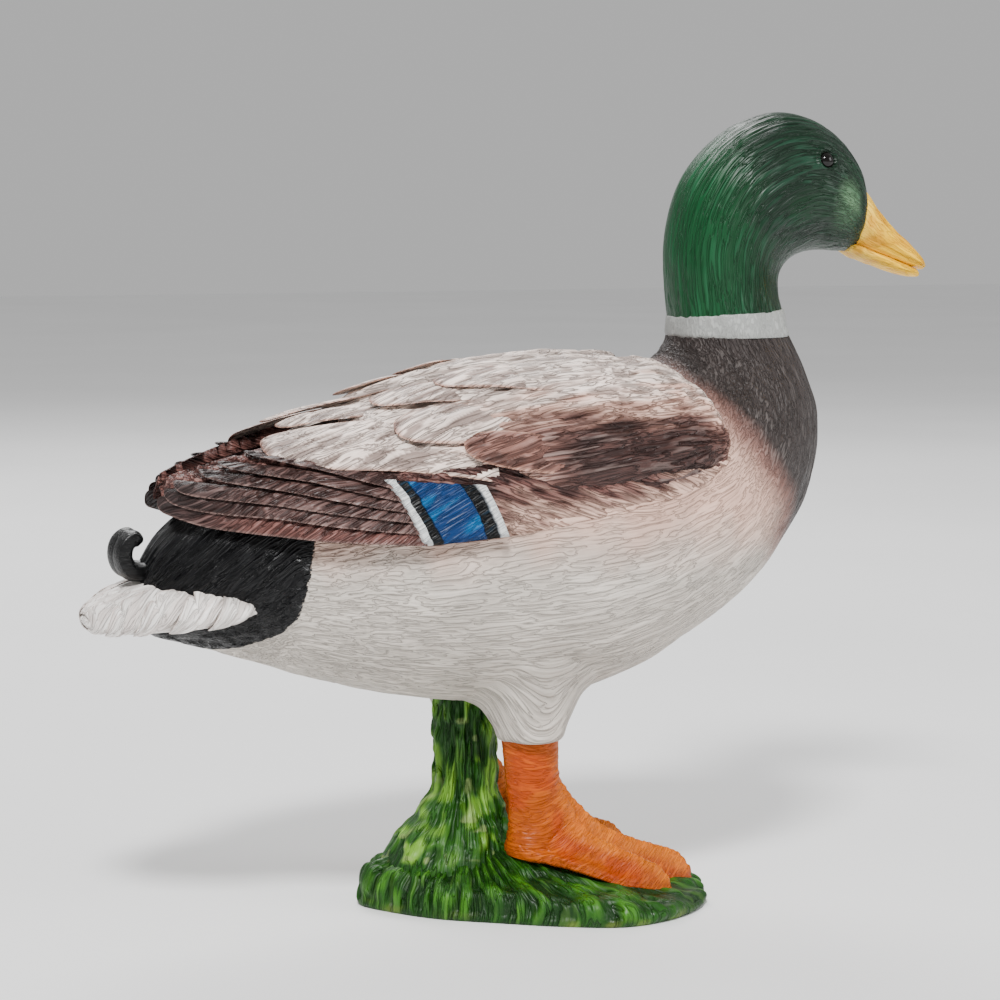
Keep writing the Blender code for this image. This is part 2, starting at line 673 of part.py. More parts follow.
def make_tie_rod():
    """Threaded rod, with a nut and washer in the base and a nut let into a block inside the body."""
    cylinder("tie_rod", TIE_RADIUS, TIE_BOTTOM, TIE_TOP, TUFT_X, 0, steel(), PARTS, 16)
    nut = cylinder("tie_nut", NUT_RADIUS, *TIE_NUT, TUFT_X, 0, steel(), PARTS, 6)
    washer = cylinder("tie_washer", WASHER_RADIUS, *WASHER, TUFT_X, 0, steel(), PARTS)
    block = box_shape("anchor_block", TUFT_X, 0, BLOCK_MIDDLE, *BLOCK_SIZE, wood(), PARTS)
    anchor = cylinder("anchor_nut", NUT_RADIUS, *ANCHOR_NUT, TUFT_X, 0, steel(), PARTS, 6)
    bore = cutter("thread_bore", TIE_RADIUS + GAP, 0, TIE_TOP + PAST, TUFT_X, 0, 16)
    for piece in (washer, nut, block, anchor):
        cut(piece, bore)
    nut_room = (NUT_RADIUS + 1.3 * GAP, ANCHOR_NUT[0] - GAP, TIE_TOP + PAST)
    cut(block, cutter("anchor_nut_room", *nut_room, TUFT_X, 0, 6))


clear_scene()
PARTS = collection("mallard_ornament")
CUTTERS = collection("cutters")
make_body()
make_head()
make_bill()
for wing_side in (1, -1):
    make_wing(wing_side)
make_tail()
for leg_side in (1, -1):
    make_leg(leg_side)
make_base()
make_tuft()
make_tie_rod()
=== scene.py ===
"""Looks of the mallard drake ornament: carved and painted resin on a grass-covered base.

Shapes are worked out in millimetres on grids of two parameters and become meshes in metres. The drake
faces +X, its left is +Y, and angles round a casting are measured from its top, positive to the left.
"""
import math

import bpy
import numpy as np
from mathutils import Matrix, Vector


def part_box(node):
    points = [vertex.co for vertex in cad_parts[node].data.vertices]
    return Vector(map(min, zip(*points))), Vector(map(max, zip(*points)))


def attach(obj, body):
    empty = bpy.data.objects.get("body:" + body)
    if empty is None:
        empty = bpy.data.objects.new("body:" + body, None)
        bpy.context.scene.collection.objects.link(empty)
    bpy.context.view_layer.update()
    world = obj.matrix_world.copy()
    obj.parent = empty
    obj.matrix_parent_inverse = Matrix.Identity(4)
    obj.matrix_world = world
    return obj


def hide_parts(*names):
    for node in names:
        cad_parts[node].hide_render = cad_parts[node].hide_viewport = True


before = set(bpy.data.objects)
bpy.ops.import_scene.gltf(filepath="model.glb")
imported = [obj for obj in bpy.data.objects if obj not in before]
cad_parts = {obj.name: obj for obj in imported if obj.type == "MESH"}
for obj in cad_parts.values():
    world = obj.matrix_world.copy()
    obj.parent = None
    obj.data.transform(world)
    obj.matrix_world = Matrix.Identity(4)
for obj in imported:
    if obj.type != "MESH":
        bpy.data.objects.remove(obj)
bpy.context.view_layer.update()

MM = 0.001

# Each station of a casting is (upper x, upper z, lower x, lower z, half width, squareness).
BODY = np.array([
    (-149, 121, -148, 110, 8, 2.0),
    (-146, 131, -145, 104, 17, 2.1),
    (-137, 142, -136, 101, 26, 2.1),
    (-118, 154.5, -118, 95.8, 36, 2.2),
    (-90, 165, -91, 87.2, 46, 2.3),
    (-58, 178.5, -60, 79, 54, 2.35),
    (-28, 189.5, -30, 75, 58, 2.35),
    (4, 194.5, 2, 75, 59, 2.3),
    (26, 194, 29, 82, 58, 2.25),
    (38, 194.3, 52, 93.5, 55.5, 2.2),
    (45, 195, 74.5, 107.5, 52, 2.15),
    (49.5, 196.5, 93, 126.5, 46.5, 2.1),
    (52, 199, 107.5, 150, 39, 2.05),
    (53.6, 202, 112, 174, 31, 2.0),
    (54.6, 204.2, 107.6, 191, 26, 2.0),
    (55, 206.4, 100.8, 206.4, 22.9, 2.0),
])
HEAD = np.array([
    (55.2, 213, 98.8, 213, 21.8, 2.0),
    (54, 226, 97, 221, 21.3, 2.0),
    (53.6, 241, 96.8, 226.4, 21.2, 2.0),
    (56.6, 256.6, 98.5, 230.8, 21.6, 2.0),
    (65, 271.6, 102, 234.2, 22, 2.05),
    (78, 282.6, 106.5, 236.2, 22, 2.1),
    (93.8, 288.6, 111.5, 237.2, 21.5, 2.15),
    (108.6, 287.2, 117, 237.3, 20.2, 2.15),
    (120.6, 280.2, 122.5, 237, 17.6, 2.1),
    (128.4, 270.8, 127, 237.2, 14, 2.1),
    (132, 261, 130.5, 239, 9.5, 2.0),
])
RING = np.array([
    (55.2, 205.6, 100.9, 205.6, 22.9, 2.0),
    (54.6, 207, 100.8, 207.4, 23.1, 2.0),
    (54.7, 210, 99.9, 211, 22.7, 2.0),
    (55, 212.8, 99.2, 214.8, 22.1, 2.0),
    (55.6, 213.6, 98.6, 215.8, 21.6, 2.0),
])
UPPER_BILL = np.array([
    (125, 262, 120, 241.4, 8.6, 2.3),
    (131.6, 261, 126, 238.6, 11.2, 2.4),
    (137.6, 253.4, 133, 236.8, 10.4, 2.5),
    (145, 245.6, 141, 234.6, 9.4, 2.6),
    (151.5, 240, 148, 232, 9.2, 2.6),
    (156.5, 235, 154.5, 230.4, 7.8, 2.5),
    (158.8, 232, 158, 229.7, 4.6, 2.2),
])
LOWER_BILL = np.array([
    (124.5, 241.6, 126, 236.8, 7.4, 2.2),
    (128.6, 240.4, 130.6, 234, 8.8, 2.3),
    (134.2, 238, 137, 231.8, 7.8, 2.4),
    (141.2, 235.6, 144, 229.3, 7.4, 2.4),
    (148.2, 233, 151, 227.4, 7.4, 2.4),
    (154.2, 230.6, 156, 226.9, 5.6, 2.2),
])
TAIL = np.array([
    (-112, 119, -112, 112, 34, 2.2),
    (-118, 121, -118, 109.5, 38, 2.3),
    (-132, 123, -131, 106.2, 37, 2.3),
    (-146, 122.6, -145, 105, 31, 2.3),
    (-158, 118.5, -157, 104.4, 23, 2.3),
    (-166, 113.6, -165, 105.6, 13, 2.2),
    (-168.4, 111, -168, 108.4, 6, 2.0),
])
# The envelope that the folded wings lie on, tips first.
WING = np.array([
    (-146, 160, -146, 143, 6, 2.0),
    (-140, 163.5, -140, 138, 14, 2.0),
    (-128, 168.5, -128, 122, 28, 2.1),
    (-110, 174, -110, 102, 42, 2.2),
    (-90, 179.5, -91, 86, 53, 2.3),
    (-62, 187.5, -64, 78, 59.5, 2.35),
    (-30, 196, -32, 72, 63, 2.35),
    (2, 200.5, 0, 72, 63.5, 2.3),
    (26, 200, 29, 78, 62.5, 2.25),
    (40, 200, 52, 89, 60, 2.2),
    (50, 199, 74, 103, 56, 2.15),
    (58, 198, 93, 122, 49, 2.1),
])


def rgb(red, green, blue):
    """A paint colour from its 0 to 255 mixing values."""
    return np.array([(value / 255) ** 2.2 for value in (red, green, blue)])


BELLY = rgb(200, 191, 180)
BLUSH = rgb(222, 170, 148)
BREAST = rgb(58, 51, 49)
RUMP = rgb(15, 15, 17)
CREAM = rgb(250, 232, 220)
BROWN = rgb(112, 74, 68)
UMBER = rgb(54, 36, 34)
GREEN = rgb(0, 44, 24)
WHITE = rgb(250, 244, 238)
YELLOW = rgb(248, 190, 0)
ORANGE = rgb(172, 78, 0)
BLUE = rgb(0, 52, 100)
BLACK = rgb(8, 8, 10)
GRASS = rgb(32, 80, 12)


def blend(first, second, share):
    """Mix two paints: first * (1 - share) + second * share, with one share or one for each point."""
    share = np.asarray(share)[..., None]
    return first * (1 - share) + second * share


def turns(columns):
    """Even angles all the way round."""
    return np.linspace(0, 2 * math.pi, columns, endpoint=False)[None, :]


def ramp(low, high, value):
    """0 below low, 1 above high and a smooth S between them."""
    share = np.clip((value - low) / (high - low), 0, 1)
    return share * share * (3 - 2 * share)


def table(x, *pairs):
    """Straight-line curve through (x, value) pairs."""
    return np.interp(x, [pair[0] for pair in pairs], [pair[1] for pair in pairs])


def through(stations, place):
    """Catmull-Rom curve through the stations, number by number, at the given station counts."""
    last = len(stations) - 1
    place = np.clip(place, 0, last - 1e-9)
    first = np.floor(place).astype(int)
    t = (place - first).reshape(place.shape + (1,) * (stations.ndim - 1))
    p, q, r, s = (stations[np.clip(first + k, 0, last)] for k in (-1, 0, 1, 2))
    return 0.5 * (2 * q + (r - p) * t + (2 * p - 5 * q + 4 * r - s) * t**2 + (3 * q - p - 3 * r + s) * t**3)


def loft(stations, place, angle, lift=0.0):
    """Point of a casting: centre + up * |cos a|^(2/n) + side * |sin a|^(2/n), pushed out by lift."""
    place, angle, lift = np.broadcast_arrays(place, angle, lift)
    upper_x, upper_z, lower_x, lower_z, half_width, squareness = np.moveaxis(through(stations, place), -1, 0)
    half_height = np.hypot(upper_x - lower_x, upper_z - lower_z) / 2
    rise = np.sign(np.cos(angle)) * np.abs(np.cos(angle)) ** (2 / squareness) * (1 + lift / half_height)
    spread = np.sign(np.sin(angle)) * np.abs(np.sin(angle)) ** (2 / squareness)
    return np.stack([
        (upper_x + lower_x) / 2 + (upper_x - lower_x) / 2 * rise,
        (half_width + lift) * spread,
        (upper_z + lower_z) / 2 + (upper_z - lower_z) / 2 * rise,
    ], -1)


def place_of_x(stations, x):
    """The station count at which a casting's middle line passes x."""
    counts = np.linspace(0, len(stations) - 1, 400)
    line = through(stations, counts)
    return np.interp(x, (line[:, 0] + line[:, 2]) / 2, counts)


def angle_of_z(stations, place, z):
    """The angle from the top at which a casting's side has height z."""
    _, upper_z, _, lower_z, _, squareness = np.moveaxis(through(stations, place), -1, 0)
    rise = np.clip((2 * z - upper_z - lower_z) / (upper_z - lower_z), -0.999, 0.999)
    return np.arccos(np.sign(rise) * np.abs(rise) ** (squareness / 2))


def even_places(stations, rows):
    """Station counts whose sections lie at even distances along the casting."""
    counts = np.linspace(0, len(stations) - 1, 600)
    ends = loft(stations, counts[:, None], np.radians([[0, 90, 180]]))
    steps = np.linalg.norm(np.diff(ends, axis=0), axis=-1).mean(1)
    return np.interp(np.linspace(0, steps.sum(), rows), np.concatenate([[0], steps.cumsum()]), counts)


def lattice(cell, seed):
    """A fixed random number in 0..1 for every whole-number cell: an integer hash of its place."""
    mixed = cell[..., 0] * 73856093 ^ cell[..., 1] * 19349663 ^ cell[..., 2] * 83492791 ^ seed * 40503
    mixed = (mixed ^ (mixed >> 13)) * 1274126177 & 0xFFFFFFFF
    return ((mixed ^ (mixed >> 15)) * 668265263 & 0xFFFFFFFF) / 0xFFFFFFFF


def noise(points, seed):
    """Smooth noise in 0..1: the lattice's numbers blended by an S curve along each axis."""
    cell = np.floor(points).astype(np.int64)
    part = points - cell
    part = part * part * (3 - 2 * part)
    total = 0.0
    for corner in np.ndindex(2, 2, 2):
        weight = np.prod(np.where(corner, part, 1 - part), axis=-1)
        total = total + weight * lattice(cell + np.array(corner), seed)
    return total


def strokes(flow, length, width, seed, sharp=0.16):
    """Carved strokes, 0 on ridges and 1 in valleys: noise drawn out along the flow and bent by slow noise."""
    bend = noise(flow / (length, width * 4, width * 4), seed + 5) * 3.2
    drawn = flow / (length, width, width)
    drawn = drawn + np.stack([bend * 0, bend, -bend], -1)
    return ramp(0.56 - sharp, 0.56 + sharp, noise(drawn, seed))


def outward(grid):
    """Unit normals of a grid whose columns close on themselves, facing away from each row's middle."""
    along = np.gradient(grid, axis=0)
    across = np.roll(grid, -1, axis=1) - np.roll(grid, 1, axis=1)
    normal = np.cross(along, across)
    normal /= np.linalg.norm(normal, axis=-1, keepdims=True) + 1e-12
    facing = (normal * (grid - grid.mean(1, keepdims=True))).sum()
    return normal if facing > 0 else -normal


def skin(name, sheets, material, node=None):
    """One piece from closed skins. A sheet is (grid, fields): rows run along it, columns close round it.

    Neighbouring grid points make four-sided faces, and each end row closes on its middle point. The
    fields are numbers or vectors per point, kept as attributes for the material.
    """
    points, fields, corners, sizes, count = [], {}, [], [], 0
    for grid, extra in sheets:
        rows, columns = grid.shape[:2]
        index = np.arange(rows * columns).reshape(rows, columns)
        after = np.roll(index, -1, axis=1)
        quads = np.stack([index[:-1], after[:-1], after[1:], index[1:]], -1).reshape(-1, 4)
        start = np.stack([after[0], index[0], np.full(columns, rows * columns)], -1)
        finish = np.stack([index[-1], after[-1], np.full(columns, rows * columns + 1)], -1)
        ends = np.concatenate([start, finish])
        local = np.concatenate([grid.reshape(-1, 3), grid[:1].mean(1), grid[-1:].mean(1)])
        triangles = np.concatenate([quads[:, [0, 1, 2]], quads[:, [0, 2, 3]], ends])
        a, b, c = (local[triangles[:, k]] for k in range(3))
        if (a * np.cross(b, c)).sum() < 0:
            quads, ends = quads[:, ::-1], ends[:, ::-1]
        points.append(local)
        corners += [(quads + count).ravel(), (ends + count).ravel()]
        sizes += [np.full(len(quads), 4), np.full(len(ends), 3)]
        count += len(local)
        for key, values in extra.items():
            lines = np.asarray(values, float).reshape(rows, columns, -1)
            flat = lines.reshape(rows * columns, -1)
            poles = lines[[0, -1]].mean(1)
            fields.setdefault(key, []).append(np.concatenate([flat, poles]))
    corners, sizes = np.concatenate(corners), np.concatenate(sizes)
    mesh = bpy.data.meshes.new(name)
    mesh.vertices.add(count)
    mesh.vertices.foreach_set("co", (np.concatenate(points) * MM).ravel())
    mesh.loops.add(len(corners))
    mesh.loops.foreach_set("vertex_index", corners)
    mesh.polygons.add(len(sizes))
    mesh.polygons.foreach_set("loop_start", np.concatenate([[0], sizes.cumsum()[:-1]]))
    mesh.update(calc_edges=True)
    mesh.validate()
    mesh.shade_smooth()
    for key, parts in fields.items():
        values = np.concatenate(parts)
        kind = "FLOAT" if values.shape[1] == 1 else "FLOAT_VECTOR"
        layer = mesh.attributes.new(key, kind, "POINT")
        layer.data.foreach_set("value" if kind == "FLOAT" else "vector", values.ravel())
    mesh.materials.append(material)
    made = bpy.data.objects.new(name, mesh)
    bpy.context.scene.collection.objects.link(made)
    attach(made, "root")
    if node:
        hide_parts(node)
    return made


# ---------------------------------------------------------------- materials


class Sheet:
    """A node tree with a short way to add a node, set its values and wire its inputs."""

    def __init__(self, tree):
        """Write in this tree."""
        self.tree = tree

    def add(self, kind, output=0, settings=None, **inputs):
        """Add a node. Inputs go by name, or by number as i0, i1 and so on; a socket is wired, a value set."""
        node = self.tree.nodes.new("ShaderNode" + kind)
        for key, value in (settings or {}).items():
            setattr(node, key, value)
        for key, value in inputs.items():
            socket = node.inputs[int(key[1:])] if key[1:].isdigit() else node.inputs[key.replace("_", " ")]
            if isinstance(value, bpy.types.NodeSocket):
                self.tree.links.new(value, socket)
            else:
                socket.default_value = value
        return node.outputs[output]

    def math(self, operation, first, second=0.0):
        """One sum of two numbers."""
        return self.add("Math", settings={"operation": operation}, i0=first, i1=second)

    def mix(self, share, first, second, mode="MIX"):
        """Two colours mixed by a share."""
        settings = {"data_type": "RGBA", "blend_type": mode}
        return self.add("Mix", 2, settings, i0=share, i6=first, i7=second)

    def step(self, value, low, high):
        """0 at low, 1 at high and a smooth S between them."""
        settings = {"interpolation_type": "SMOOTHSTEP"}
        return self.add("MapRange", settings=settings, i0=value, i1=low, i2=high)


def strokes_group():
    """Fine carved strokes. Flow is in millimetres: along, across, across.

    Noise is drawn out by Length along the flow and Width across it, and bent by slow noise. Its low
    parts, and thin cuts where it passes its middle, are valleys; its high parts are ridges. Puts out
    the carved height, a mask of the valleys, a mask of the ridges and a slow mottle.
    """
    tree = bpy.data.node_groups.new("carved_strokes", "ShaderNodeTree")
    tree.interface.new_socket("Flow", in_out="INPUT", socket_type="NodeSocketVector")
    for name, value in (("Length", 8.0), ("Width", 1.0), ("Waviness", 1.0)):
        tree.interface.new_socket(name, in_out="INPUT", socket_type="NodeSocketFloat").default_value = value
    for name in ("Height", "Valley", "Ridge", "Mottle"):
        tree.interface.new_socket(name, in_out="OUTPUT", socket_type="NodeSocketFloat")
    sheet = Sheet(tree)
    inputs = tree.nodes.new("NodeGroupInput").outputs
    outputs = tree.nodes.new("NodeGroupOutput").inputs
    along = sheet.math("DIVIDE", 1.0, inputs["Length"])
    across = sheet.math("DIVIDE", 1.0, inputs["Width"])
    scale = sheet.add("CombineXYZ", i0=along, i1=across, i2=across)
    drawn = sheet.add("VectorMath", settings={"operation": "MULTIPLY"}, i0=inputs["Flow"], i1=scale)
    slowly = {"operation": "MULTIPLY"}
    slow = sheet.add("VectorMath", settings=slowly, i0=inputs["Flow"], i1=(0.05, 0.11, 0.11))
    bend = sheet.add("TexNoise", 1, Vector=slow, Scale=1.0, Detail=1.0)
    centred = sheet.add("VectorMath", settings={"operation": "SUBTRACT"}, i0=bend, i1=(0.5, 0.5, 0.5))
    amount = sheet.math("MULTIPLY", inputs["Waviness"], 4.0)
    bent = sheet.add("VectorMath", settings={"operation": "SCALE"}, i0=centred, Scale=amount)
    warped = sheet.add("VectorMath", settings={"operation": "ADD"}, i0=drawn, i1=bent)
    coarse = sheet.add("TexNoise", Vector=warped, Scale=1.0, Detail=1.0, Roughness=0.4)
    double = sheet.add("VectorMath", settings={"operation": "MULTIPLY"}, i0=warped, i1=(1.5, 2.1, 2.1))
    fine = sheet.add("TexNoise", Vector=double, Scale=1.0, Detail=1.0, Roughness=0.5)
    both = sheet.math("ADD", sheet.math("MULTIPLY", coarse, 0.7), sheet.math("MULTIPLY", fine, 0.3))
    cut = sheet.step(sheet.math("ABSOLUTE", sheet.math("SUBTRACT", both, 0.49)), 0.035, 0.005)
    valley = sheet.math("MAXIMUM", sheet.math("MULTIPLY", cut, 0.85), sheet.step(both, 0.44, 0.34))
    ridge = sheet.step(both, 0.53, 0.6)
    height = sheet.math("SUBTRACT", sheet.math("MULTIPLY", both, 1.6), sheet.math("MULTIPLY", cut, 0.4))
    mottle = sheet.add("TexNoise", Vector=slow, Scale=0.9, Detail=3.0)
    wires = (height, valley, ridge, mottle)
    for name, wire in zip(("Height", "Valley", "Ridge", "Mottle"), wires):
        tree.links.new(wire, outputs[name])
    return tree


STROKES = strokes_group()


def painted(name, stroke, depth, wash, brush, gloss, brush_colour, wash_tint=(0.12, 0.08, 0.075), coat=0.0,
            second=None, shine=0.3):
    """Hand-painted resin, coloured by the paint attribute and carved in strokes along the flow attribute.

    Stroke is (length, width, waviness) and depth is the carving's, all in millimetres. A wash sits in
    the valleys and in the grooves of the groove attribute: the colour times its tint. Where a feather
    tucks under the next one, the groove attribute holds painted shade instead of a wash. Dry-brushed
    paint, brighter and nearer the brush colour, catches the ridges. Gloss is the least and the greatest
    roughness. A second paint takes over, with a ragged edge, where the border attribute is above zero.
    """
    material = bpy.data.materials.new(name)
    material.use_nodes = True
    sheet = Sheet(material.node_tree)
    shader = material.node_tree.nodes["Principled BSDF"]
    flow = sheet.add("Attribute", 1, {"attribute_name": "flow"})
    paint = sheet.add("Attribute", 1, {"attribute_name": "paint"})
    groove = sheet.add("Attribute", 2, {"attribute_name": "groove"})
    group = material.node_tree.nodes.new("ShaderNodeGroup")
    group.node_tree = STROKES
    material.node_tree.links.new(flow, group.inputs["Flow"])
    for key, value in zip(("Length", "Width", "Waviness"), stroke):
        group.inputs[key].default_value = value
    carved, valley, ridge, mottle = group.outputs
    tone = sheet.add("MapRange", i0=mottle, i1=0.3, i2=0.7, i3=0.9, i4=1.08)
    colour = sheet.add("VectorMath", settings={"operation": "SCALE"}, i0=paint, Scale=tone)
    worn = sheet.math("MULTIPLY", ridge, sheet.step(mottle, 0.38, 0.62))
    bright = sheet.add("VectorMath", settings={"operation": "SCALE"}, i0=colour, Scale=1.6)
    lifted = sheet.mix(0.25, bright, (*brush_colour, 1))
    colour = sheet.mix(sheet.math("MULTIPLY", worn, brush), colour, lifted)
    deep = sheet.math("MAXIMUM", sheet.math("MULTIPLY", valley, 0.75), groove)
    dark = sheet.mix(1.0, colour, (*wash_tint, 1), "MULTIPLY")
    colour = sheet.mix(sheet.math("MULTIPLY", deep, wash), colour, dark)
    roughness = sheet.add("MapRange", i0=mottle, i1=0.3, i2=0.7, i3=gloss[0], i4=gloss[1])
    if second is not None:
        border = sheet.add("Attribute", 2, {"attribute_name": "border"})
        ragged = sheet.math("MULTIPLY", sheet.math("SUBTRACT", carved, 0.4), 1.2)
        over = sheet.step(sheet.math("ADD", border, ragged), -0.2, 0.2)
        colour = sheet.mix(over, colour, (*second, 1))
        smoother = sheet.math("SUBTRACT", 1.0, sheet.math("MULTIPLY", over, 0.45))
        roughness = sheet.math("MULTIPLY", roughness, smoother)
    bump = sheet.add("Bump", Strength=1.0, Distance=depth * MM, Height=carved)
    material.node_tree.links.new(colour, shader.inputs["Base Color"])
    material.node_tree.links.new(roughness, shader.inputs["Roughness"])
    material.node_tree.links.new(bump, shader.inputs["Normal"])
    shader.inputs["Specular IOR Level"].default_value = shine
    shader.inputs["Coat Weight"].default_value = coat
    shader.inputs["Coat Roughness"].default_value = 0.22
    return material


def plain_finish(name, colour, roughness, metallic, grain_scale, stretch=(1, 1, 1), contrast=0.25):
    """A hidden part's finish: one stock material with grain in its colour, gloss and surface."""
    material = bpy.data.materials.new(name)
    material.use_nodes = True
    sheet = Sheet(material.node_tree)
    shader = material.node_tree.nodes["Principled BSDF"]
    where = sheet.add("TexCoord", 3)
    drawn = sheet.add("Mapping", Vector=where, Scale=stretch)
    grain = sheet.add("TexNoise", Vector=drawn, Scale=grain_scale, Detail=4.0)
    tone = sheet.add("MapRange", i0=grain, i1=0.3, i2=0.7, i3=1 - contrast, i4=1 + contrast)
    tinted = sheet.add("VectorMath", settings={"operation": "SCALE"}, i0=colour, Scale=tone)
    material.node_tree.links.new(tinted, shader.inputs["Base Color"])
    gloss = sheet.add("MapRange", i0=grain, i1=0.3, i2=0.7, i3=roughness * 0.8, i4=min(1.0, roughness * 1.2))
    material.node_tree.links.new(gloss, shader.inputs["Roughness"])
    shader.inputs["Metallic"].default_value = metallic
    bump = sheet.add("Bump", Strength=0.3, Distance=0.0002, Height=grain)
    material.node_tree.links.new(bump, shader.inputs["Normal"])
    return material


def eye_glass():
    """Black glass bead with a faint brown depth and specks of dust."""
    material = bpy.data.materials.new("eye_glass_bead")
    material.use_nodes = True
    sheet = Sheet(material.node_tree)
    shader = material.node_tree.nodes["Principled BSDF"]
    dust = sheet.add("TexNoise", Vector=sheet.add("TexCoord", 3), Scale=900.0, Detail=2.0)
    material.node_tree.links.new(sheet.mix(dust, (0.001, 0.001, 0.001, 1), (0.004, 0.003, 0.002, 1)),
                                 shader.inputs["Base Color"])
    gloss = sheet.add("MapRange", i0=dust, i1=0.3, i2=0.8, i3=0.03, i4=0.09)
    material.node_tree.links.new(gloss, shader.inputs["Roughness"])
    shader.inputs["Specular IOR Level"].default_value = 0.35
    return material


# ---------------------------------------------------------------- body and head


def rod_axis(name):
    """Where a leg's rod stands: x and y in millimetres."""
    low, high = (np.array(corner[:2]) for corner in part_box(name + "_leg_rod"))
    return (low + high) / 2 / MM


LEG_AXIS = {1: rod_axis("left"), -1: rod_axis("right")}
THIGH_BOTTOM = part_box("body_shell")[0][2] / MM
THIGH_REACH = 24.0


def draw_out_thighs(grid):
    """Pull the belly down into two thighs.

    A point at distance r from a leg's axis moves to a distance and a height read from a profile of
    r / reach: flat under the thigh, steep at its side and level with the belly at the reach.
    """
    profile = np.array([(0, 0), (6, 0), (11.6, 0), (14, 0.34), (18.4, 0.8), (THIGH_REACH, 1)], float)
    for side in (1, -1):
        offset = grid[..., :2] - LEG_AXIS[side]
        reach = np.linalg.norm(offset, axis=-1)
        inside = (reach < THIGH_REACH) & (grid[..., 2] < 110)
        share = np.clip(reach / THIGH_REACH, 1e-6, 1)
        pulled = through(profile, share * (len(profile) - 1))
        scale = np.where(inside, pulled[..., 0] / (share * THIGH_REACH), 1)
        drop = np.where(inside, pulled[..., 1], 1)
        grid = np.concatenate([
            offset * scale[..., None] + LEG_AXIS[side],
            (THIGH_BOTTOM + (grid[..., 2] - THIGH_BOTTOM) * drop)[..., None],
        ], -1)
    return grid


def casting(stations, rows, angles):
    """A whole casting as a grid of even rows, with its flow.

    The flow is the distance along it, then size * sin a and size * cos a across its section. The size
    is the local half width mixed with the mean one, so that the strokes thin out only a little where
    the casting does.
    """
    places = even_places(stations, rows)[:, None]
    grid = loft(stations, places, angles)
    steps = np.linalg.norm(np.diff(grid, axis=0), axis=-1).mean(1)
    along = np.concatenate([[0], steps.cumsum()])[:, None] + 0 * angles
    half_width = through(stations, places[:, 0])[:, 4][:, None]
    size = half_width * 0.65 + half_width.mean() * 0.35
    return grid, np.stack([along, size * np.sin(angles), size * np.cos(angles)], -1)


def make_body():
    """Body shell: the casting with its thighs drawn out, pushed along its normals by lumps and strokes.

    The paint runs from pale belly up into a blush, and forwards across a slanting edge into the dark
    breast. Behind the border, a line of x against height, the strokes slant and the rump is black.
    """
    turn = turns(290)
    grid, flow = casting(BODY, 300, turn + 0.35 * np.sin(turn))
    behind = ramp(-96, -108, grid[..., 0])
    flow[..., 2] -= behind * 0.75 * (grid[..., 0] + 100)
    grid = draw_out_thighs(grid)
    carving = strokes(flow, 9.0, 2.0, 3)
    lumps = noise(grid / 13.0, 8) - 0.5
    grid = grid + outward(grid) * (lumps * 0.9 - carving * (0.28 + 0.3 * behind))[..., None]
    x, z = grid[..., 0], grid[..., 2]
    wander = (noise(grid / 9.0, 12) - 0.5) * 9
    edge = table(z, (100, 99), (122, 90), (150, 83), (165, 73), (180, 61), (200, 44), (205, 20))
    front = x + wander * 0.6 - edge
    pale = blend(BELLY * np.ones(grid.shape), BLUSH, ramp(122, 150, z + wander) * 0.75)
    pale = blend(pale, BROWN, ramp(-16, 2, front) * 0.85)
    paint = blend(pale, BREAST, ramp(-4, 9, front))
    # Painted shade: the flank turns umber high up, where the wings overhang it.
    paint = blend(paint, UMBER, ramp(150, 160, z) * ramp(40, 30, x))
    border = table(z, (97, -132), (101, -118), (107, -107), (113, -102), (127, -98.5), (145, -95)) - x
    groove = carving * (0.12 + 0.88 * ramp(-8, 6, front))
    fields = {"flow": flow, "paint": paint, "groove": groove, "border": border}
    material = painted("belly_and_breast_paint", (16, 1.6, 0.4), 1.5, 0.26, 0.3, (0.4, 0.6),
                       (0.62, 0.58, 0.55), second=RUMP)
    skin("body_casting", [(grid, fields)], material, "body_shell")


def make_head():
    """Head and neck: the casting with lumps and strokes, a lid round each eye and a lighter cheek that is
    partly the paint's own colour and partly a painted highlight.

    The lid is a Gaussian of the distance from the eye's middle, just outside its radius, and inside it
    the surface drops into a socket.
    """
    grid, flow = casting(HEAD, 280, turns(260))
    carving = strokes(flow, 10.0, 1.5, 21)
    face = ramp(60, 95, grid[..., 0]) * ramp(232, 250, grid[..., 2])
    depth = 0.16 + 0.12 * face
    lumps = noise(grid / 11.0, 4) - 0.5
    push = lumps * 0.7 - carving * depth
    groove = carving * 0.35
    for side in ("left", "right"):
        centre = eye_centre(side)
        distance = np.linalg.norm(grid - centre, axis=-1)
        lid = np.exp(-(((distance - EYE_RADIUS - 1.3) / 0.85) ** 2))
        push = push + lid * 0.75 - ramp(EYE_RADIUS + 0.8, EYE_RADIUS - 0.8, distance) * 1.6
        groove = np.maximum(groove, ramp(EYE_RADIUS + 1.1, EYE_RADIUS + 0.2, distance))
    grid = grid + outward(grid) * push[..., None]
    shade = noise(flow / (14, 7, 7), 31)
    dark = np.minimum(ramp(0.35, 0.7, shade) * face, 0.6)
    paint = blend(GREEN * np.ones(grid.shape), rgb(2, 32, 20), dark)
    paint = blend(paint, rgb(0, 78, 42), ramp(88, 60, grid[..., 0]) * 0.7)
    # The lighter cheek is partly the paint's own colour and partly a painted highlight.
    for side in (1, -1):
        cheek_and_highlight = np.linalg.norm((grid - (119, side * 17, 254)) / (8, 9, 11), axis=-1)
        paint = blend(paint, rgb(84, 116, 84), ramp(1.2, 0.2, cheek_and_highlight) * (0.4 + 0.6 * ramp(0.4, 0.6, shade)))
    fields = {"flow": flow, "paint": paint, "groove": groove}
    material = painted("head_green_paint", (16, 1.3, 0.35), 1.1, 0.5, 0.4, (0.3, 0.44), (0.05, 0.2, 0.12),
                       (0.3, 0.42, 0.36))
    skin("head_and_neck", [(grid, fields)], material, "head_casting")


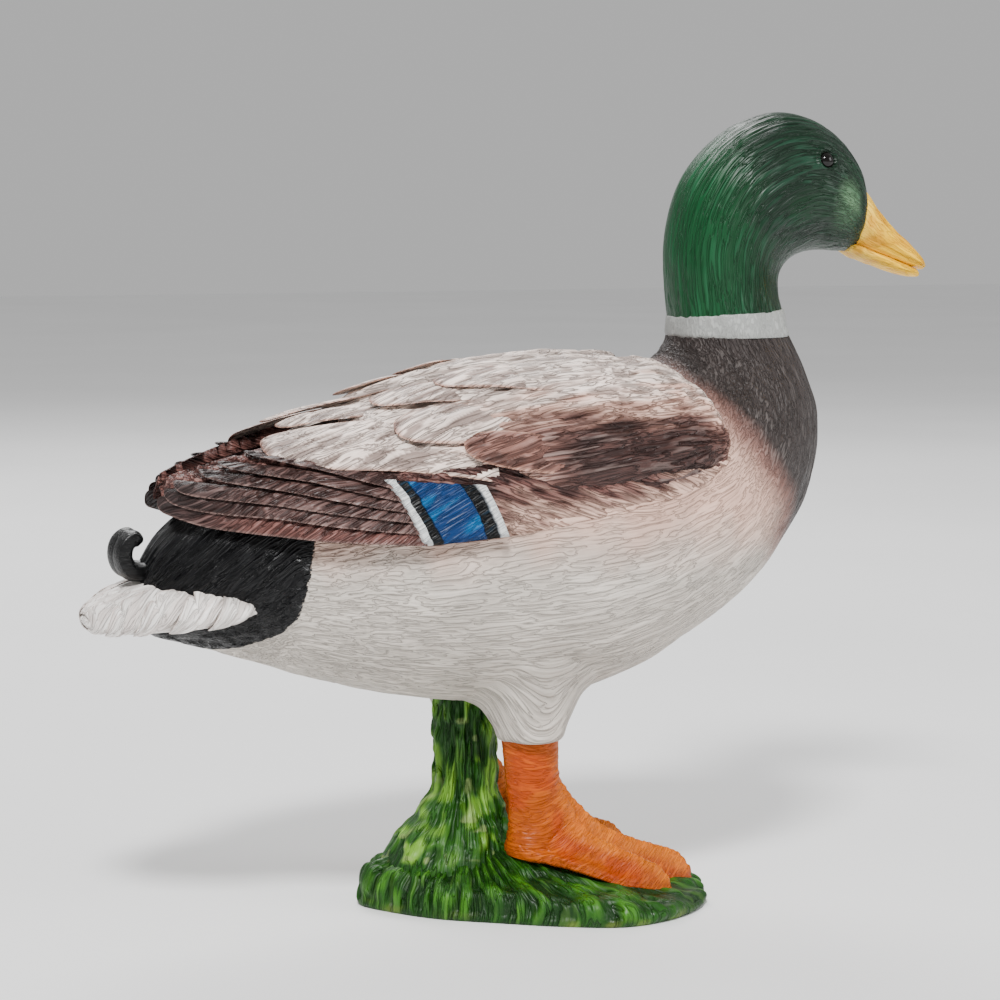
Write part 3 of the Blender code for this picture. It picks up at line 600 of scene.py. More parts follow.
EYE_RADIUS = (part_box("left_eye")[1][0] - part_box("left_eye")[0][0]) / 2 / MM


def eye_centre(side):
    """Middle of an eye's own box, in millimetres."""
    low, high = (np.array(corner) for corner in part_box(side + "_eye"))
    return (low + high) / 2 / MM


def make_eyes():
    """Each eye is a ball: its radius times (sin p cos t, cos p, sin p sin t)."""
    glass = eye_glass()
    polar = np.linspace(0.02, math.pi - 0.02, 40)[:, None]
    turn = turns(48)
    level = np.sin(polar)
    ball = np.stack([level * np.cos(turn), np.cos(polar) + 0 * turn, level * np.sin(turn)], -1) * EYE_RADIUS
    for side in ("left", "right"):
        skin(side + "_eye_bead", [(eye_centre(side) + ball, {})], glass, side + "_eye")


def make_ring():
    """White ring: its casting, dimpled by a fine and a coarse noise."""
    grid, flow = casting(RING, 40, turns(200))
    dimples = (noise(grid / 1.6, 2) + noise(grid / 5.0, 9) - 1) * 0.35
    grid = grid + outward(grid) * dimples[..., None]
    fields = {"flow": flow, "paint": rgb(152, 154, 151) * np.ones(grid.shape), "groove": 0 * grid[..., 0]}
    material = painted("ring_white_paint", (3, 1.2, 0.6), 0.2, 0.22, 0.3, (0.34, 0.5), (0.7, 0.69, 0.67))
    skin("neck_ring_band", [(grid, fields)], material, "neck_ring")


def make_bill():
    """Both halves of the bill. The upper one has a lip seam, a Gaussian of cos a, and a nostril slot."""
    material = painted("bill_yellow_paint", (10, 1.3, 0.5), 0.5, 0.35, 0.3, (0.32, 0.48), (0.95, 0.66, 0.1),
                       (0.5, 0.25, 0.04), shine=0.2)
    for name, stations, rows in (("upper", UPPER_BILL, 120), ("lower", LOWER_BILL, 80)):
        angles = turns(120)
        grid, flow = casting(stations, rows, angles)
        x = grid[..., 0]
        push = (noise(grid / 3.5, 6) - 0.5) * 0.35
        groove = 0 * x
        if name == "upper":
            seam = np.exp(-(((np.cos(angles) + 0.42) / 0.13) ** 2)) * ramp(127, 133, x)
            slot = np.exp(-(((x - 139.5) / 3.4) ** 2) - (((np.abs(angles - math.pi) - 2.2) / 0.16) ** 2))
            push = push - seam * 0.55 - slot * 0.9
            groove = np.maximum(seam * 0.8, slot)
        grid = grid + outward(grid) * push[..., None]
        peach = rgb(242, 196, 70)
        paint = blend(YELLOW * np.ones(grid.shape), peach, ramp(141, 130, x) * 0.8)
        paint = blend(paint, rgb(214, 142, 0), ramp(0.5, 0.8, noise(grid / 4.0, 14)) * 0.6)
        fields = {"flow": flow, "paint": paint, "groove": groove}
        skin(name + "_bill_horn", [(grid, fields)], material, name + "_bill")


# ---------------------------------------------------------------- wings


def there_and_back(low, high, columns):
    """Numbers from low to high and back again, and a mark that is 0 on the way out and 1 on the way back."""
    out = np.linspace(low, high, columns)
    return np.concatenate([out, out[::-1]])[None, :], np.repeat([0.0, 1.0], columns)[None, :]


def closed_patch(stations, places, low, high, outer, inner, columns, side):
    """A slab on a casting between two edge angles: out over its face and back along its underside.

    v runs 0..1 from the lower edge to the upper one; outer(u, v) and inner are lifts off the casting.
    """
    loop, under = there_and_back(0, 1, columns)
    angles = low[:, None] + (high - low)[:, None] * loop
    u = np.linspace(0, 1, len(places))[:, None] + 0 * loop
    face = outer(u, loop + 0 * u)
    lift = np.where(under > 0, np.minimum(inner, face - 0.4), face)
    return loft(stations, places[:, None], side * angles, lift), loop + 0 * u, under + 0 * u


def patch_flow(grid, slope=0.0):
    """Flow on a slab: x drawn along, then the other two, with the strokes' lines tilted by slope."""
    x, y, z = np.moveaxis(grid, -1, 0)
    return np.stack([x, z - slope * x, y], -1)


def make_wing(side_name, side):
    """All the layers of one folded wing, from the lowest to the topmost."""
    make_wing_bed(side_name, side)
    make_scapulars(side_name, side)
    make_tertials(side_name, side)
    make_primaries(side_name, side)
    make_speculum(side_name, side)


def lower_edge(place):
    """Angle of the folded wing's lower edge: a height curve along x, turned into an angle."""
    line = through(WING, place)
    x = (line[..., 0] + line[..., 2]) / 2
    z = table(x, (-146, 153), (-129, 148.2), (-98, 144.4), (-66, 140.6), (-45, 139.2), (-30, 140.6),
              (0, 145.5), (28, 151), (45, 156), (62, 166))
    return angle_of_z(WING, place, z)


def scapular_edge(places):
    """Angle, in degrees, of the scapulars' lower edge at each station count of the wing."""
    return table(places, (3.9, 40), (4.9, 56), (5.7, 68), (6.1, 72), (6.5, 76), (7.3, 78), (8.3, 77.5),
                 (9.35, 75.5), (9.8, 73), (10.05, 68), (10.2, 62))


def make_wing_bed(name, side):
    """The wing's brown body: a slab from the lower edge up under the scapulars, thin at its rim."""
    places = np.linspace(0.9, 9.9, 250)
    low = lower_edge(places)
    front = ramp(3.2, 5.6, places)
    high = np.radians(24 * (1 - front) + (scapular_edge(places) - 14) * front)
    high = np.minimum(high, low - 0.03)

    def face(u, v):
        """Lift of the bed: low at the tips, with thin rims, and flatter ahead of the blue patch."""
        ahead = ramp(0.55, 0.64, u)
        rim = ramp(0, 0.1 + 0.7 * ahead, v) * ramp(0, 0.03, u) * ramp(1, 0.8, u)
        return -4.4 - 1.6 * ramp(0.3, 0.05, u) + (3.4 - 1.2 * ahead) * rim

    grid, v, under = closed_patch(WING, places, low, high, face, -6.4, 80, side)
    flow = patch_flow(grid, -0.35)
    carving = strokes(flow, 9.0, 1.6, 41) * (1 - under)
    grid = grid - outward(grid) * (carving * 0.6)[..., None]
    x = grid[..., 0]
    wander = noise(flow / (9, 1.8, 1.8), 43) - 0.5
    shaded = ramp(0.35, 0.7, v + wander * 0.4) * ramp(-110, -60, x)
    dark = blend(BROWN * np.ones(grid.shape), UMBER, shaded * 0.8)
    fade = ramp(0.5, 0.02, v + wander * 0.5) * ramp(-62, -20, x)
    paint = blend(dark, blend(BELLY, BLUSH, 0.7), np.maximum(fade, ramp(20, 52, x)))
    fields = {"flow": flow, "paint": paint, "groove": carving * (0.9 - 0.4 * fade)}
    skin(name + "_wing_coverts", [(grid, fields)], MATERIALS["covert"], name + "_coverts")


def make_scapulars(name, side):
    """The pale shoulder mass: a plump slab with a rolled lower edge, carved with rows of strokes."""
    places = 10.2 - 6.3 * np.linspace(0, 1, 330) ** 1.15
    low = np.radians(scapular_edge(places))
    high = np.radians(table(places, (3.9, 12), (6.0, 5), (8.3, 5), (8.9, 9), (9.3, 18), (9.7, 32), (10.0, 45),
                            (10.2, 56)))

    def face(u, v):
        """Lift of the shoulder: rolled rims and a low crest, a Gaussian of v, along its upper part."""
        rim = ramp(0, 0.2, v) ** 0.6 * ramp(1, 0.88, v) ** 0.6
        crest = np.exp(-(((v - 0.76) / 0.17) ** 2)) * ramp(0.1, 0.35, u) * ramp(1, 0.6, u)
        return -5.0 + (rim * 5.6 + crest * 2.2) * ramp(0, 0.08, u) ** 0.6 * ramp(1, 0.86, u)

    grid, v, under = closed_patch(WING, places, low, high, face, -6.0, 110, side)
    x = grid[..., 0]
    flow = patch_flow(grid, 0.16)
    open_face = 1 - under
    fine = strokes(flow, 13.0, 1.7, 51, 0.1) * open_face
    broad = strokes(flow, 24.0, 4.5, 57, 0.25) * open_face
    fold = np.exp(-(((v - 0.36) / 0.08) ** 2)) * ramp(-30, 5, x) * ramp(60, 35, x)
    grid = grid - outward(grid) * (fine * 0.75 + broad * 0.45 + fold * 1.0 * open_face)[..., None]
    wander = noise(flow / (14, 2.6, 2.6), 15) - 0.5
    level = v - 0.06 + wander * 0.2
    dusk = ramp(0.56, 0.36, level) * ramp(-66, -22, x)
    warm = ramp(24, 58, x + wander * 40) * ramp(0.95, 0.6, v)
    band = ramp(0.43, 0.26, level) * ramp(-48, -14, x + wander * 20) * ramp(70, 54, x)
    core = ramp(0.35, 0.18, level) * ramp(-30, 0, x + wander * 20) * ramp(62, 44, x)
    paint = blend(CREAM * np.ones(grid.shape), BLUSH, np.maximum(dusk, warm) * 0.85)
    paint = blend(paint, BROWN, np.maximum(band * 0.9, ramp(0.16, 0.0, v) * ramp(70, 50, x)))
    paint = blend(paint, UMBER, core * 0.85)
    top_line = ramp(0.88, 1.0, v) * ramp(-10, 35, x)
    paint = blend(paint, BREAST, top_line * 0.8)
    fields = {"flow": flow, "paint": paint, "groove": np.clip(fine * 0.7 + fold * 0.2, 0, 1)}
    material = MATERIALS["scapular"]
    skin(name + "_scapular_feathers", [(grid, fields)], material, name + "_scapulars")


def feather(stations, line, half_width, thickness, lifts, side, rows, columns, tip, seed, barb, shingle,
            lean):
    """A feather laid on a casting along a line of (station count, angle) from root to tip.

    Across it v runs -1..1, downwards. Its width is half width * (1 - s^2.4)^0.5 with s counted over the
    tip's share of its length. Its face is thickness * (1 - v^2)^0.4 + shingle * v, and barbs that lean
    by so many degrees are carved into it. The underside closes it.
    """
    t = np.linspace(0, 1, rows)[:, None]
    v, under = there_and_back(-1, 1, columns)
    under = under + 0 * t
    line = np.array(line, float) * (1, math.pi / 180)
    centre = through(line, t[:, 0] * (len(line) - 1))
    middle = loft(stations, centre[:, 0], centre[:, 1])
    width = half_width * np.clip(1 - ((t - 1 + tip) / tip).clip(0) ** 2.4, 0, 1) ** 0.5
    rate = np.linalg.norm(loft(stations, centre[:, 0], centre[:, 1] + 0.02) - middle, axis=-1) / 0.02
    angle = centre[:, 1][:, None] + v * width / rate[:, None]
    rest = lifts[0] + (lifts[1] - lifts[0]) * ramp(0, 0.75, t)
    length = t * np.linalg.norm(np.diff(middle, axis=0), axis=-1).sum()
    spread = v * width
    turn = math.radians(lean)
    down_barb = length * math.cos(turn) + spread * math.sin(turn)
    over_barbs = length * math.sin(turn) - spread * math.cos(turn)
    flow = np.stack([down_barb, over_barbs, seed * 7 + under * 5], -1)
    cut = noise(flow / (9, barb, 1), 61 + seed)
    carving = ramp(0.5, 0.66, cut) * (1 - under) * ramp(1.0, 0.88, np.abs(v)) * ramp(1.0, 0.95, t)
    share = width / half_width
    upper = rest + (thickness * (1 - v**2) ** 0.4 + shingle * v - carving * 0.5) * share
    lift = np.where(under > 0, rest - (1.0 * (1 - v**2) - shingle * v) * share, upper)
    grid = loft(stations, centre[:, 0][:, None], side * angle, lift)
    spots = {"v": v + 0 * t, "t": t + 0 * v, "width": width + 0 * v}
    return grid, {"flow": flow, "groove": carving * 0.85, **spots}


def paint_feather(sheet, body, rim, tip_paint, rim_width=0.8, tip_start=0.7):
    """Feather paint: the vane's colour, a rim along its edges and a tip that shades into another."""
    grid, fields = sheet
    v, t, width = fields.pop("v"), fields.pop("t"), fields.pop("width")
    edge = ramp(rim_width * 2.2, rim_width * 0.6, (1 - np.abs(v)) * width)
    paint = blend(body * np.ones(grid.shape), tip_paint, ramp(tip_start, 1.0, t))
    fields["paint"] = blend(paint, rim, edge * 0.8)
    return grid, fields


def make_tertials(name, side):
    """Broad leaf-shaped feathers over the back of the scapulars, from the lowest to the topmost."""
    rows = (
        (((5.9, 55), (4.9, 43), (4.0, 35), (3.05, 28)), 13.5, (-1.5, 0.5), 0.5),
        (((5.6, 18), (4.8, 15), (4.1, 11), (3.5, 10)), 7.5, (-2.5, 1.2), 0.5),
        (((6.6, 46), (6.0, 45), (5.4, 42), (4.85, 39)), 9.5, (-2.5, 2.2), 0.5),
        (((6.5, 27), (5.9, 25), (5.3, 21), (4.75, 18)), 8.5, (-2.5, 2.6), 0.5),
        (((7.3, 30), (6.7, 27), (6.1, 23), (5.5, 18)), 9.0, (-2.5, 2.8), 0.5),
        (((7.0, 62), (6.5, 61), (6.0, 58), (5.55, 54)), 7.5, (-2.8, 1.6), 0.5),
    )
    sheets = []
    for number, (line, half_width, lifts, tip) in enumerate(rows):
        sheet = feather(WING, line, half_width, 0.9, lifts, side, 150, 30, tip, number, 1.5, 0.0, 26.0)
        vane = blend(BLUSH, BROWN, 0.85) if number == 5 else blend(CREAM, BLUSH, 0.12)
        rim, end = blend(BLUSH, BROWN, 0.3), blend(BLUSH, BROWN, 0.7)
        sheets.append(paint_feather(sheet, vane, rim, end, 0.6, 0.9))
    skin(name + "_tertials", sheets, MATERIALS["scapular"])


# Lower edge of each flight feather from tip to root, lowest feather first: (x, z).
FLIGHT_EDGES = np.array([
    [(-143.4, 150.0), (-125, 145.4), (-111, 142.9), (-97, 141.3), (-78, 140.2), (-61, 139.4)],
    [(-141.4, 153.4), (-125, 150.2), (-111, 148.4), (-96, 146.4), (-77, 144.4), (-62.5, 143.2)],
    [(-138.4, 156.6), (-125, 154.6), (-111, 152.6), (-96, 150.5), (-77, 148.3), (-64, 146.8)],
    [(-130.2, 160.9), (-119, 158.6), (-108, 156.9), (-96, 155), (-77, 151.8), (-66, 150.3)],
    [(-123.8, 163.4), (-114, 161.6), (-105, 160.3), (-96, 159.3), (-77, 155.4), (-67.5, 153.8)],
    [(-114.6, 166.4), (-106, 164.9), (-96, 163.4), (-86, 161.2), (-77, 159.2), (-69, 157.4)],
])


def make_primaries(name, side):
    """Stacked flight feathers. Each lies over the one below it and overhangs it with its lower edge;
    the upper edge of each, tucked under the next, carries painted shade.
    """
    sheets = []
    for number, edge in enumerate(FLIGHT_EDGES):
        x, z = through(edge[::-1], np.linspace(0, 5, 11)).T
        z = z + 3.0 - 1.6 * ramp(-104, -140, x)
        places = place_of_x(WING, x)
        line = np.stack([places, np.degrees(angle_of_z(WING, places, z))], -1)
        lifts = (-0.9 + 0.12 * number, -0.2 + 0.1 * number)
        sheet = feather(WING, line, 3.7, 0.5, lifts, side, 240, 18, 0.09, number + 10, 1.15, 1.25, 33.0)
        # Painted shade: each feather's upper edge, tucked under the feather above, is darkened through the
        # groove attribute.
        shade_under_next_feather = ramp(-0.35, -0.95, sheet[1]["v"])
        sheet[1]["groove"] = np.maximum(sheet[1]["groove"], shade_under_next_feather)
        body = blend(rgb(82, 65, 62), BROWN, 1.0 if number == 0 else 0.25)
        sheets.append(paint_feather(sheet, body, rgb(126, 102, 96), rgb(60, 48, 47), 0.35, 0.6))
    skin(name + "_flight_feathers", sheets, MATERIALS["flight"], name + "_primaries")


def make_speculum(name, side):
    """Blue patch between black bars and raised white bars: a slab between four corners on the wing."""
    rows, columns = 130, 50
    u = np.linspace(0, 1, rows)[:, None]
    v, under = there_and_back(0, 1, columns)
    under = under + 0 * u
    corners = np.array([[(5.02, 86), (4.6, 59.5)], [(5.98, 85.5), (5.74, 69)]], float)
    low = corners[0, 0] + (corners[1, 0] - corners[0, 0]) * u
    high = corners[0, 1] + (corners[1, 1] - corners[0, 1]) * u
    spot = low[:, None, :] + (high - low)[:, None, :] * v[..., None]
    uneven = noise(np.stack([v * 9 + 0 * u, u * 3 + 0 * v, 0 * u + 0 * v], -1), 71) - 0.5
    across = u + uneven * 0.035
    white = np.maximum(ramp(0.125, 0.11, across), ramp(0.875, 0.89, across))
    black = np.maximum(ramp(0.25, 0.235, across), ramp(0.735, 0.75, across)) * (1 - white)
    rim = ramp(0, 0.04, v) * ramp(1, 0.96, v) * ramp(0, 0.03, u) * ramp(1, 0.97, u)
    lift = np.where(under > 0, -1.2, -1.0 + rim * (1.5 + white * 0.9 - black * 0.35))
    grid = loft(WING, spot[..., 0], side * np.radians(spot[..., 1]), lift)
    flow = np.stack([spot[..., 0] * 30, spot[..., 1] * 1.0 + spot[..., 0] * 14, under], -1)
    carving = strokes(flow, 9.0, 1.5, 77) * (1 - under) * (1 - white)
    grid = grid - outward(grid) * (carving * 0.35)[..., None]
    bright = ramp(0.5, 0.75, noise(flow / (8, 2, 2), 79))
    paint = blend(BLUE * np.ones(grid.shape), rgb(0, 96, 150), bright * 0.8)
    paint = blend(blend(paint, BLACK, black), rgb(214, 216, 214), white)
    fields = {"flow": flow, "paint": paint, "groove": carving * 0.5 * (1 - white)}
    material = MATERIALS["speculum"]
    skin(name + "_speculum_patch", [(grid, fields)], material, name + "_speculum")


# ---------------------------------------------------------------- tail


def make_tail():
    """White tail: a core with slanting side feathers and long upper feathers laid over it."""
    places = even_places(TAIL, 90)[:, None]
    angles = turns(120)
    grid = loft(TAIL, places, angles, -0.8)
    flow = patch_flow(grid)
    carving = strokes(flow, 8, 1.8, 81)
    grid = grid - outward(grid) * (carving * 0.4)[..., None]
    sheets = [(grid, {"flow": flow, "paint": WHITE * np.ones(grid.shape), "groove": carving * 0.5})]
    for side in (1, -1):
        for number in range(5):
            root = 0.9 * number
            line = ((root, 22), (root + 0.7, 55), (root + 1.45, 92), (min(root + 2.0, 5.7), 122))
            sheets.append(tail_feather(line, 8.4 - 0.5 * number, (-0.6, 0.6), side, number))
        for number, angle in enumerate((10, 34)):
            line = ((1.2, angle), (3.0, angle), (4.4, angle * 0.9), (5.5, angle * 0.8))
            sheets.append(tail_feather(line, 7.5, (-0.6, 0.4), side, number + 6))
    skin("tail_feathers", sheets, MATERIALS["tail"], "tail_fan")


def tail_feather(line, half_width, lifts, side, seed):
    """One white tail feather, its front edge raised over the one before it."""
    sheet = feather(TAIL, line, half_width, 0.8, lifts, side, 80, 28, 0.4, seed + 30, 1.8, -0.9, 20.0)
    return paint_feather(sheet, WHITE, rgb(222, 202, 192), WHITE, 0.4, 0.9)


def tube(route, rows, columns, ribs, rib_depth):
    """Tube along a curve through (x, y, z, radius) points, with lengthwise ribs: r * (1 - depth |sin|)."""
    line = through(np.array(route, float), np.linspace(0, len(route) - 1, rows))
    heading = np.gradient(line[:, :3], axis=0)
    heading /= np.linalg.norm(heading, axis=1, keepdims=True)
    side = np.array([0, 1, 0]) + 0 * heading
    lift = np.cross(heading, side)
    turn = np.linspace(0, 2 * math.pi, columns, endpoint=False)
    ribbed = 1 - rib_depth * np.abs(np.sin(turn * ribs / 2)) ** 0.7
    ends = np.sqrt(np.clip(1 - np.linspace(-1, 1, rows) ** 12, 0.01, 1))
    radius = (line[:, 3] * ends)[:, None] * ribbed
    ring = np.cos(turn)[None, :, None] * side[:, None, :] + np.sin(turn)[None, :, None] * lift[:, None, :]
    return line[:, None, :3] + ring * radius[..., None]


def make_curls():
    """Curled tail feathers: ribbed tubes through points of (x, y, z, radius), rolling up and forwards."""
    material = painted("curl_black_paint", (10, 0.9, 0.3), 0.3, 0.3, 0.1, (0.24, 0.38), (0.1, 0.1, 0.11),
                       (0.4, 0.4, 0.4), coat=0.1)
    for name in ("left", "right"):
        low, high = (np.array(corner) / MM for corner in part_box(name + "_tail_curl"))
        middle = (low[1] + high[1]) / 2
        route = (
            (-140, middle * 0.7, 128.5, 3.0),
            (-147, middle * 0.85, 126.6, 3.5),
            (-152.4, middle, 127.8, 3.7),
            (-154.4, middle, 132, 3.7),
            (-153.6, middle, 136.4, 3.6),
            (-150.8, middle, 138.6, 3.3),
            (-148.6, middle, 136.6, 3.0),
        )
        grid = tube(route, 90, 40, 5, 0.14)
        flow = patch_flow(grid)
        fields = {"flow": flow, "paint": BLACK * np.ones(grid.shape), "groove": 0 * grid[..., 0]}
        skin(name + "_curled_feather", [(grid, fields)], material, name + "_tail_curl")


# ---------------------------------------------------------------- legs and base


FOOT_SLOPE = math.radians(12.5)
HEEL_HEIGHT = 20.5  # of the web's middle plane under the right leg's axis
# Toe tips ahead of the leg's axis: (forward, outward, height of the ridge at its root and near its end).
TOES = ((48, 16, 6.5, 4.4), (64.5, -1.5, 9.5, 6.4), (46, -15, 8.0, 5.0))


def foot_reach(turn):
    """Outline of the foot as a distance for each direction: toe tips, scalloped web and round heel."""
    degrees = -np.degrees((turn + math.pi) % (2 * math.pi) - math.pi)
    return table(degrees, (-180, 9.5), (-150, 9), (-110, 10), (-75, 13), (-45, 27), (-30, 38), (-21, 48),
                 (-18.4, 51.5), (-15, 49), (-8, 48.5), (-2, 57), (1.3, 64.8), (4.5, 57), (9, 47.5), (15, 47),
                 (18, 48.8), (21, 44), (30, 32), (45, 22), (75, 11.5), (110, 9.5), (150, 9), (180, 9.5))


def sole_height(x):
    """Height of the plane that both feet's webs lie in, falling forwards."""
    return HEEL_HEIGHT - np.tan(FOOT_SLOPE) * (x - LEG_AXIS[-1][0])


def make_leg(name, side):
    """Leg as one skin: rows run down the shank, out over the foot to its rim and back underneath."""
    columns = 290
    even = np.linspace(-math.pi, math.pi, columns, endpoint=False)
    turn = even - 0.55 * np.sin(even)
    cosine, sine = np.cos(turn), np.sin(turn)
    reach = foot_reach(turn)

    def plane(along):
        """Height of the web's middle plane, so far ahead of the leg's axis."""
        return sole_height(LEG_AXIS[side][0] + along)

    def ring(long, wide, ahead, height):
        """Section of the shank: an ellipse at one height."""
        return np.stack([ahead + long * cosine, wide * sine, height + 0 * turn], -1)

    def spread(share, least, rise):
        """Section of the foot: a share of its outline, so far above its middle plane."""
        out = np.maximum(reach * share, least)
        return np.stack([out * cosine, out * sine, plane(out * cosine) + rise], -1)

    stations = np.stack([
        ring(4, 4, 0, 63.2), ring(10.4, 7.6, 0, 62.9), ring(10.6, 7.8, 0, 60), ring(9.9, 7.1, 0.2, 50),
        ring(10, 7, 1.4, 40), ring(12, 7.8, 3.6, 31), spread(0.42, 8.6, 5.2), spread(0.62, 8.9, 2.9),
        spread(0.82, 9.1, 2.4), spread(0.96, 9.3, 1.7), spread(1.0, 9.5, 0.2), spread(0.97, 9.2, -1.6),
        spread(0.6, 8, -2.4), spread(0.1, 1, -2.6),
    ])
    grid = through(stations, np.linspace(0, len(stations) - 1, 190))
    forward, outward_y, height = np.moveaxis(grid, -1, 0)
    top = ramp(-0.5, 1.2, height - plane(forward)) * ramp(2, 14, forward)
    ridge, scutes = 0 * forward, 0 * forward
    for tip_x, tip_y, root_height, end_height in TOES:
        length = math.hypot(tip_x, tip_y)
        along = (forward * tip_x + outward_y * tip_y) / length
        aside = (outward_y * tip_x - forward * tip_y) / length
        body = np.exp(-(np.abs(aside / (4.6 - 0.02 * along)) ** 2.4)) * ramp(0, 16, along)
        crest = root_height + (end_height - root_height) * ramp(0.3 * length, length, along)
        ridge = np.maximum(ridge, body * crest)
        scutes = np.maximum(scutes, body * np.abs(np.sin(along * 1.35)) ** 0.6 * ramp(12, 20, along))
    claw = ramp(0.9, 1.0, np.hypot(forward, outward_y) / (reach[None, :] + 0 * forward))
    grid[..., 2] += top * ridge * (1 - 0.6 * claw) + top * scutes * 0.6
    grid[..., 2] -= 0.16 * outward_y.clip(0) * ramp(6, 30, forward) * ramp(24, 16, height)
    front = ramp(0.2, 0.8, cosine)[None, :] * ramp(24, 34, height) * ramp(62, 56, height)
    rings = front * np.abs(np.sin(height * 1.1 + np.sin(turn * 9)[None, :] * 0.5)) ** 0.5
    down = np.hypot(forward, outward_y) + 60 - height
    flow = np.stack([turn * 9 + 0 * height, down, height * 0.3], -1)
    carving = strokes(flow, 6.0, 1.8, 91)
    grid = grid + outward(grid) * (rings * 0.45 - carving * 0.22)[..., None]
    grid[..., 0] += LEG_AXIS[side][0]
    grid[..., 1] = side * grid[..., 1] + LEG_AXIS[side][1]
    crease = np.maximum(ramp(0.35, 0.1, scutes) * ramp(1.5, 4, ridge) * top, ramp(0.4, 0.1, rings) * front)
    crease = np.maximum(crease, top * ramp(1.6, 0.4, ridge) * ramp(14, 22, forward) * 0.35)
    tone = noise(grid / 8.0, 17)
    paint = blend(ORANGE * np.ones(grid.shape), rgb(176, 62, 0), ramp(0.45, 0.75, tone) * 0.6)
    paint = blend(paint, rgb(232, 128, 10), ramp(2, 5, ridge) * top * 0.5)
    fields = {"flow": flow, "paint": paint, "groove": np.clip(crease, 0, 1) * 0.6 + carving * 0.2}
    skin(name + "_leg_and_foot", [(grid, fields)], MATERIALS["leg"], name + "_leg")


BASE_OUTLINE = np.array([(62, 0), (59, 25), (50, 46), (34, 60), (13, 66), (-8, 58), (-30, 44), (-48, 31),
                         (-61, 15), (-68, 0)], float)
TUFT_X = (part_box("grass_tuft")[0][0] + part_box("grass_tuft")[1][0]) / 2 / MM
MOUND_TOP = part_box("grass_base")[1][2] / MM
PLATE_SHARE = 0.54


def base_outline(columns):
    """The base's outline about the tuft: a smooth curve through its points, mirrored across y = 0."""
    mirrored = np.concatenate([BASE_OUTLINE, BASE_OUTLINE[-2:0:-1] * (1, -1)])
    looped = np.concatenate([mirrored[-2:], mirrored, mirrored[:3]])
    dense = through(looped, np.linspace(2, len(mirrored) + 2, 2000, endpoint=False)) - (TUFT_X, 0)
    turn = np.arctan2(dense[:, 1], dense[:, 0])
    order = np.argsort(turn)
    wanted = np.linspace(-math.pi, math.pi, columns, endpoint=False)
    return wanted, np.interp(wanted, turn[order], np.hypot(*dense[order].T), period=2 * math.pi)


def mound_height(x, share):
    """The mound climbs steeply behind the feet and gently in front of them."""
    rim = 9.5 - 0.06 * x
    climb = np.clip((0.97 - share) / 0.67, 0, 1)
    return rim + (MOUND_TOP - rim) * climb ** np.clip(1.5 + x / 90, 0.85, 3)


def make_base():
    """Grass mound as one skin: rows run from its top out to the rim, down to the ground and under.

    Kinds of rows: 0 top, 1 rounded rim, 2 lower lip, 3 underside, 4 recess for the base plate. Blades are
    noise drawn out along the radius, tufts a coarser noise, and both fade out under the feet.
    """
    columns = 360
    turn, reach = base_outline(columns)
    top_rows, rim_rows, under_rows = 150, 39, 12
    shoulder = 0.84
    bend = np.linspace(0, math.pi / 2, rim_rows + 1)[1:, None]
    shares = np.concatenate([
        np.linspace(0.02, shoulder, top_rows), shoulder + (1 - shoulder) * np.sin(bend[:, 0]), [0.995, 0.985],
        np.linspace(0.975, PLATE_SHARE, under_rows), [PLATE_SHARE, PLATE_SHARE - 0.02, 0.02],
    ])
    kind = np.repeat(np.arange(5), (top_rows, rim_rows, 2, under_rows, 3))
    share, kind = shares[:, None] + 0 * turn, kind[:, None] + 0 * turn
    x = TUFT_X + share * reach * np.cos(turn)
    y = share * reach * np.sin(turn)
    low = 2.6
    edge = TUFT_X + shoulder * reach * np.cos(turn)
    fall = np.concatenate([np.zeros((top_rows, 1)), bend, np.zeros((under_rows + 5, 1))])
    rounded = low + (mound_height(edge, shoulder) - low) * np.cos(fall) ** 0.9
    down = np.where(np.arange(len(shares)) == top_rows + rim_rows, 1.4, 0.4)[:, None]
    heights = [mound_height(x, share), rounded, down + 0 * x, 0 * x]
    z = np.select([kind == 0, kind == 1, kind == 2, kind == 3], heights, 3.6)
    grid = np.stack([x, y, z], -1)
    radius = share * reach
    ring = np.stack([np.cos(turn), np.sin(turn)], -1)
    swirl = np.stack([(radius - z) / 13.0, *np.moveaxis((radius / 2.1)[..., None] * ring, -1, 0)], -1)
    spokes = np.stack([(radius - z) / 14.0, *np.moveaxis(21 * ring + 0 * radius[..., None], -1, 0)], -1)
    bent = spokes + np.stack([0 * z, noise(grid / 14, 3) * 1.6, noise(grid / 14, 4) * 1.6], -1)
    blades = ramp(0.3, 0.75, noise(bent, 5))
    tufts = noise(grid / 7.0, 6)
    face = np.isin(kind, (0, 1)) * ramp(0.02, 0.15, share) * ramp(0.5, 4.0, z)
    feet = foot_clearance(x, y)
    push = -(1 - blades) * 1.9 + (tufts - 0.5) * 2.0 + (noise(swirl, 7) - 0.5) * 0.8
    grid = grid + outward(grid) * (push * face * (0.35 + 0.65 * feet))[..., None]
    grid[..., 2] = np.maximum(grid[..., 2], 0.0)
    grid[..., 2] -= (1 - feet) * np.isin(kind, (0, 1)) * sink_under_feet(grid)
    vivid = noise(grid / 6.0, 11)
    paint = blend(GRASS * np.ones(grid.shape), rgb(72, 132, 30), blades * ramp(0.4, 0.75, vivid) * 0.6)
    paint = blend(paint, rgb(12, 44, 12), (1 - blades) * 0.7)
    paint = blend(paint, rgb(132, 150, 62), ramp(4, 1.0, grid[..., 2]) * ramp(0.5, 0.7, vivid) * 0.4)
    fields = {"flow": spokes * (12, 1.6, 1.6), "paint": paint, "groove": (1 - blades) * 0.5 * face}
    skin("grass_mound", [(grid, fields)], MATERIALS["grass"], "grass_base")


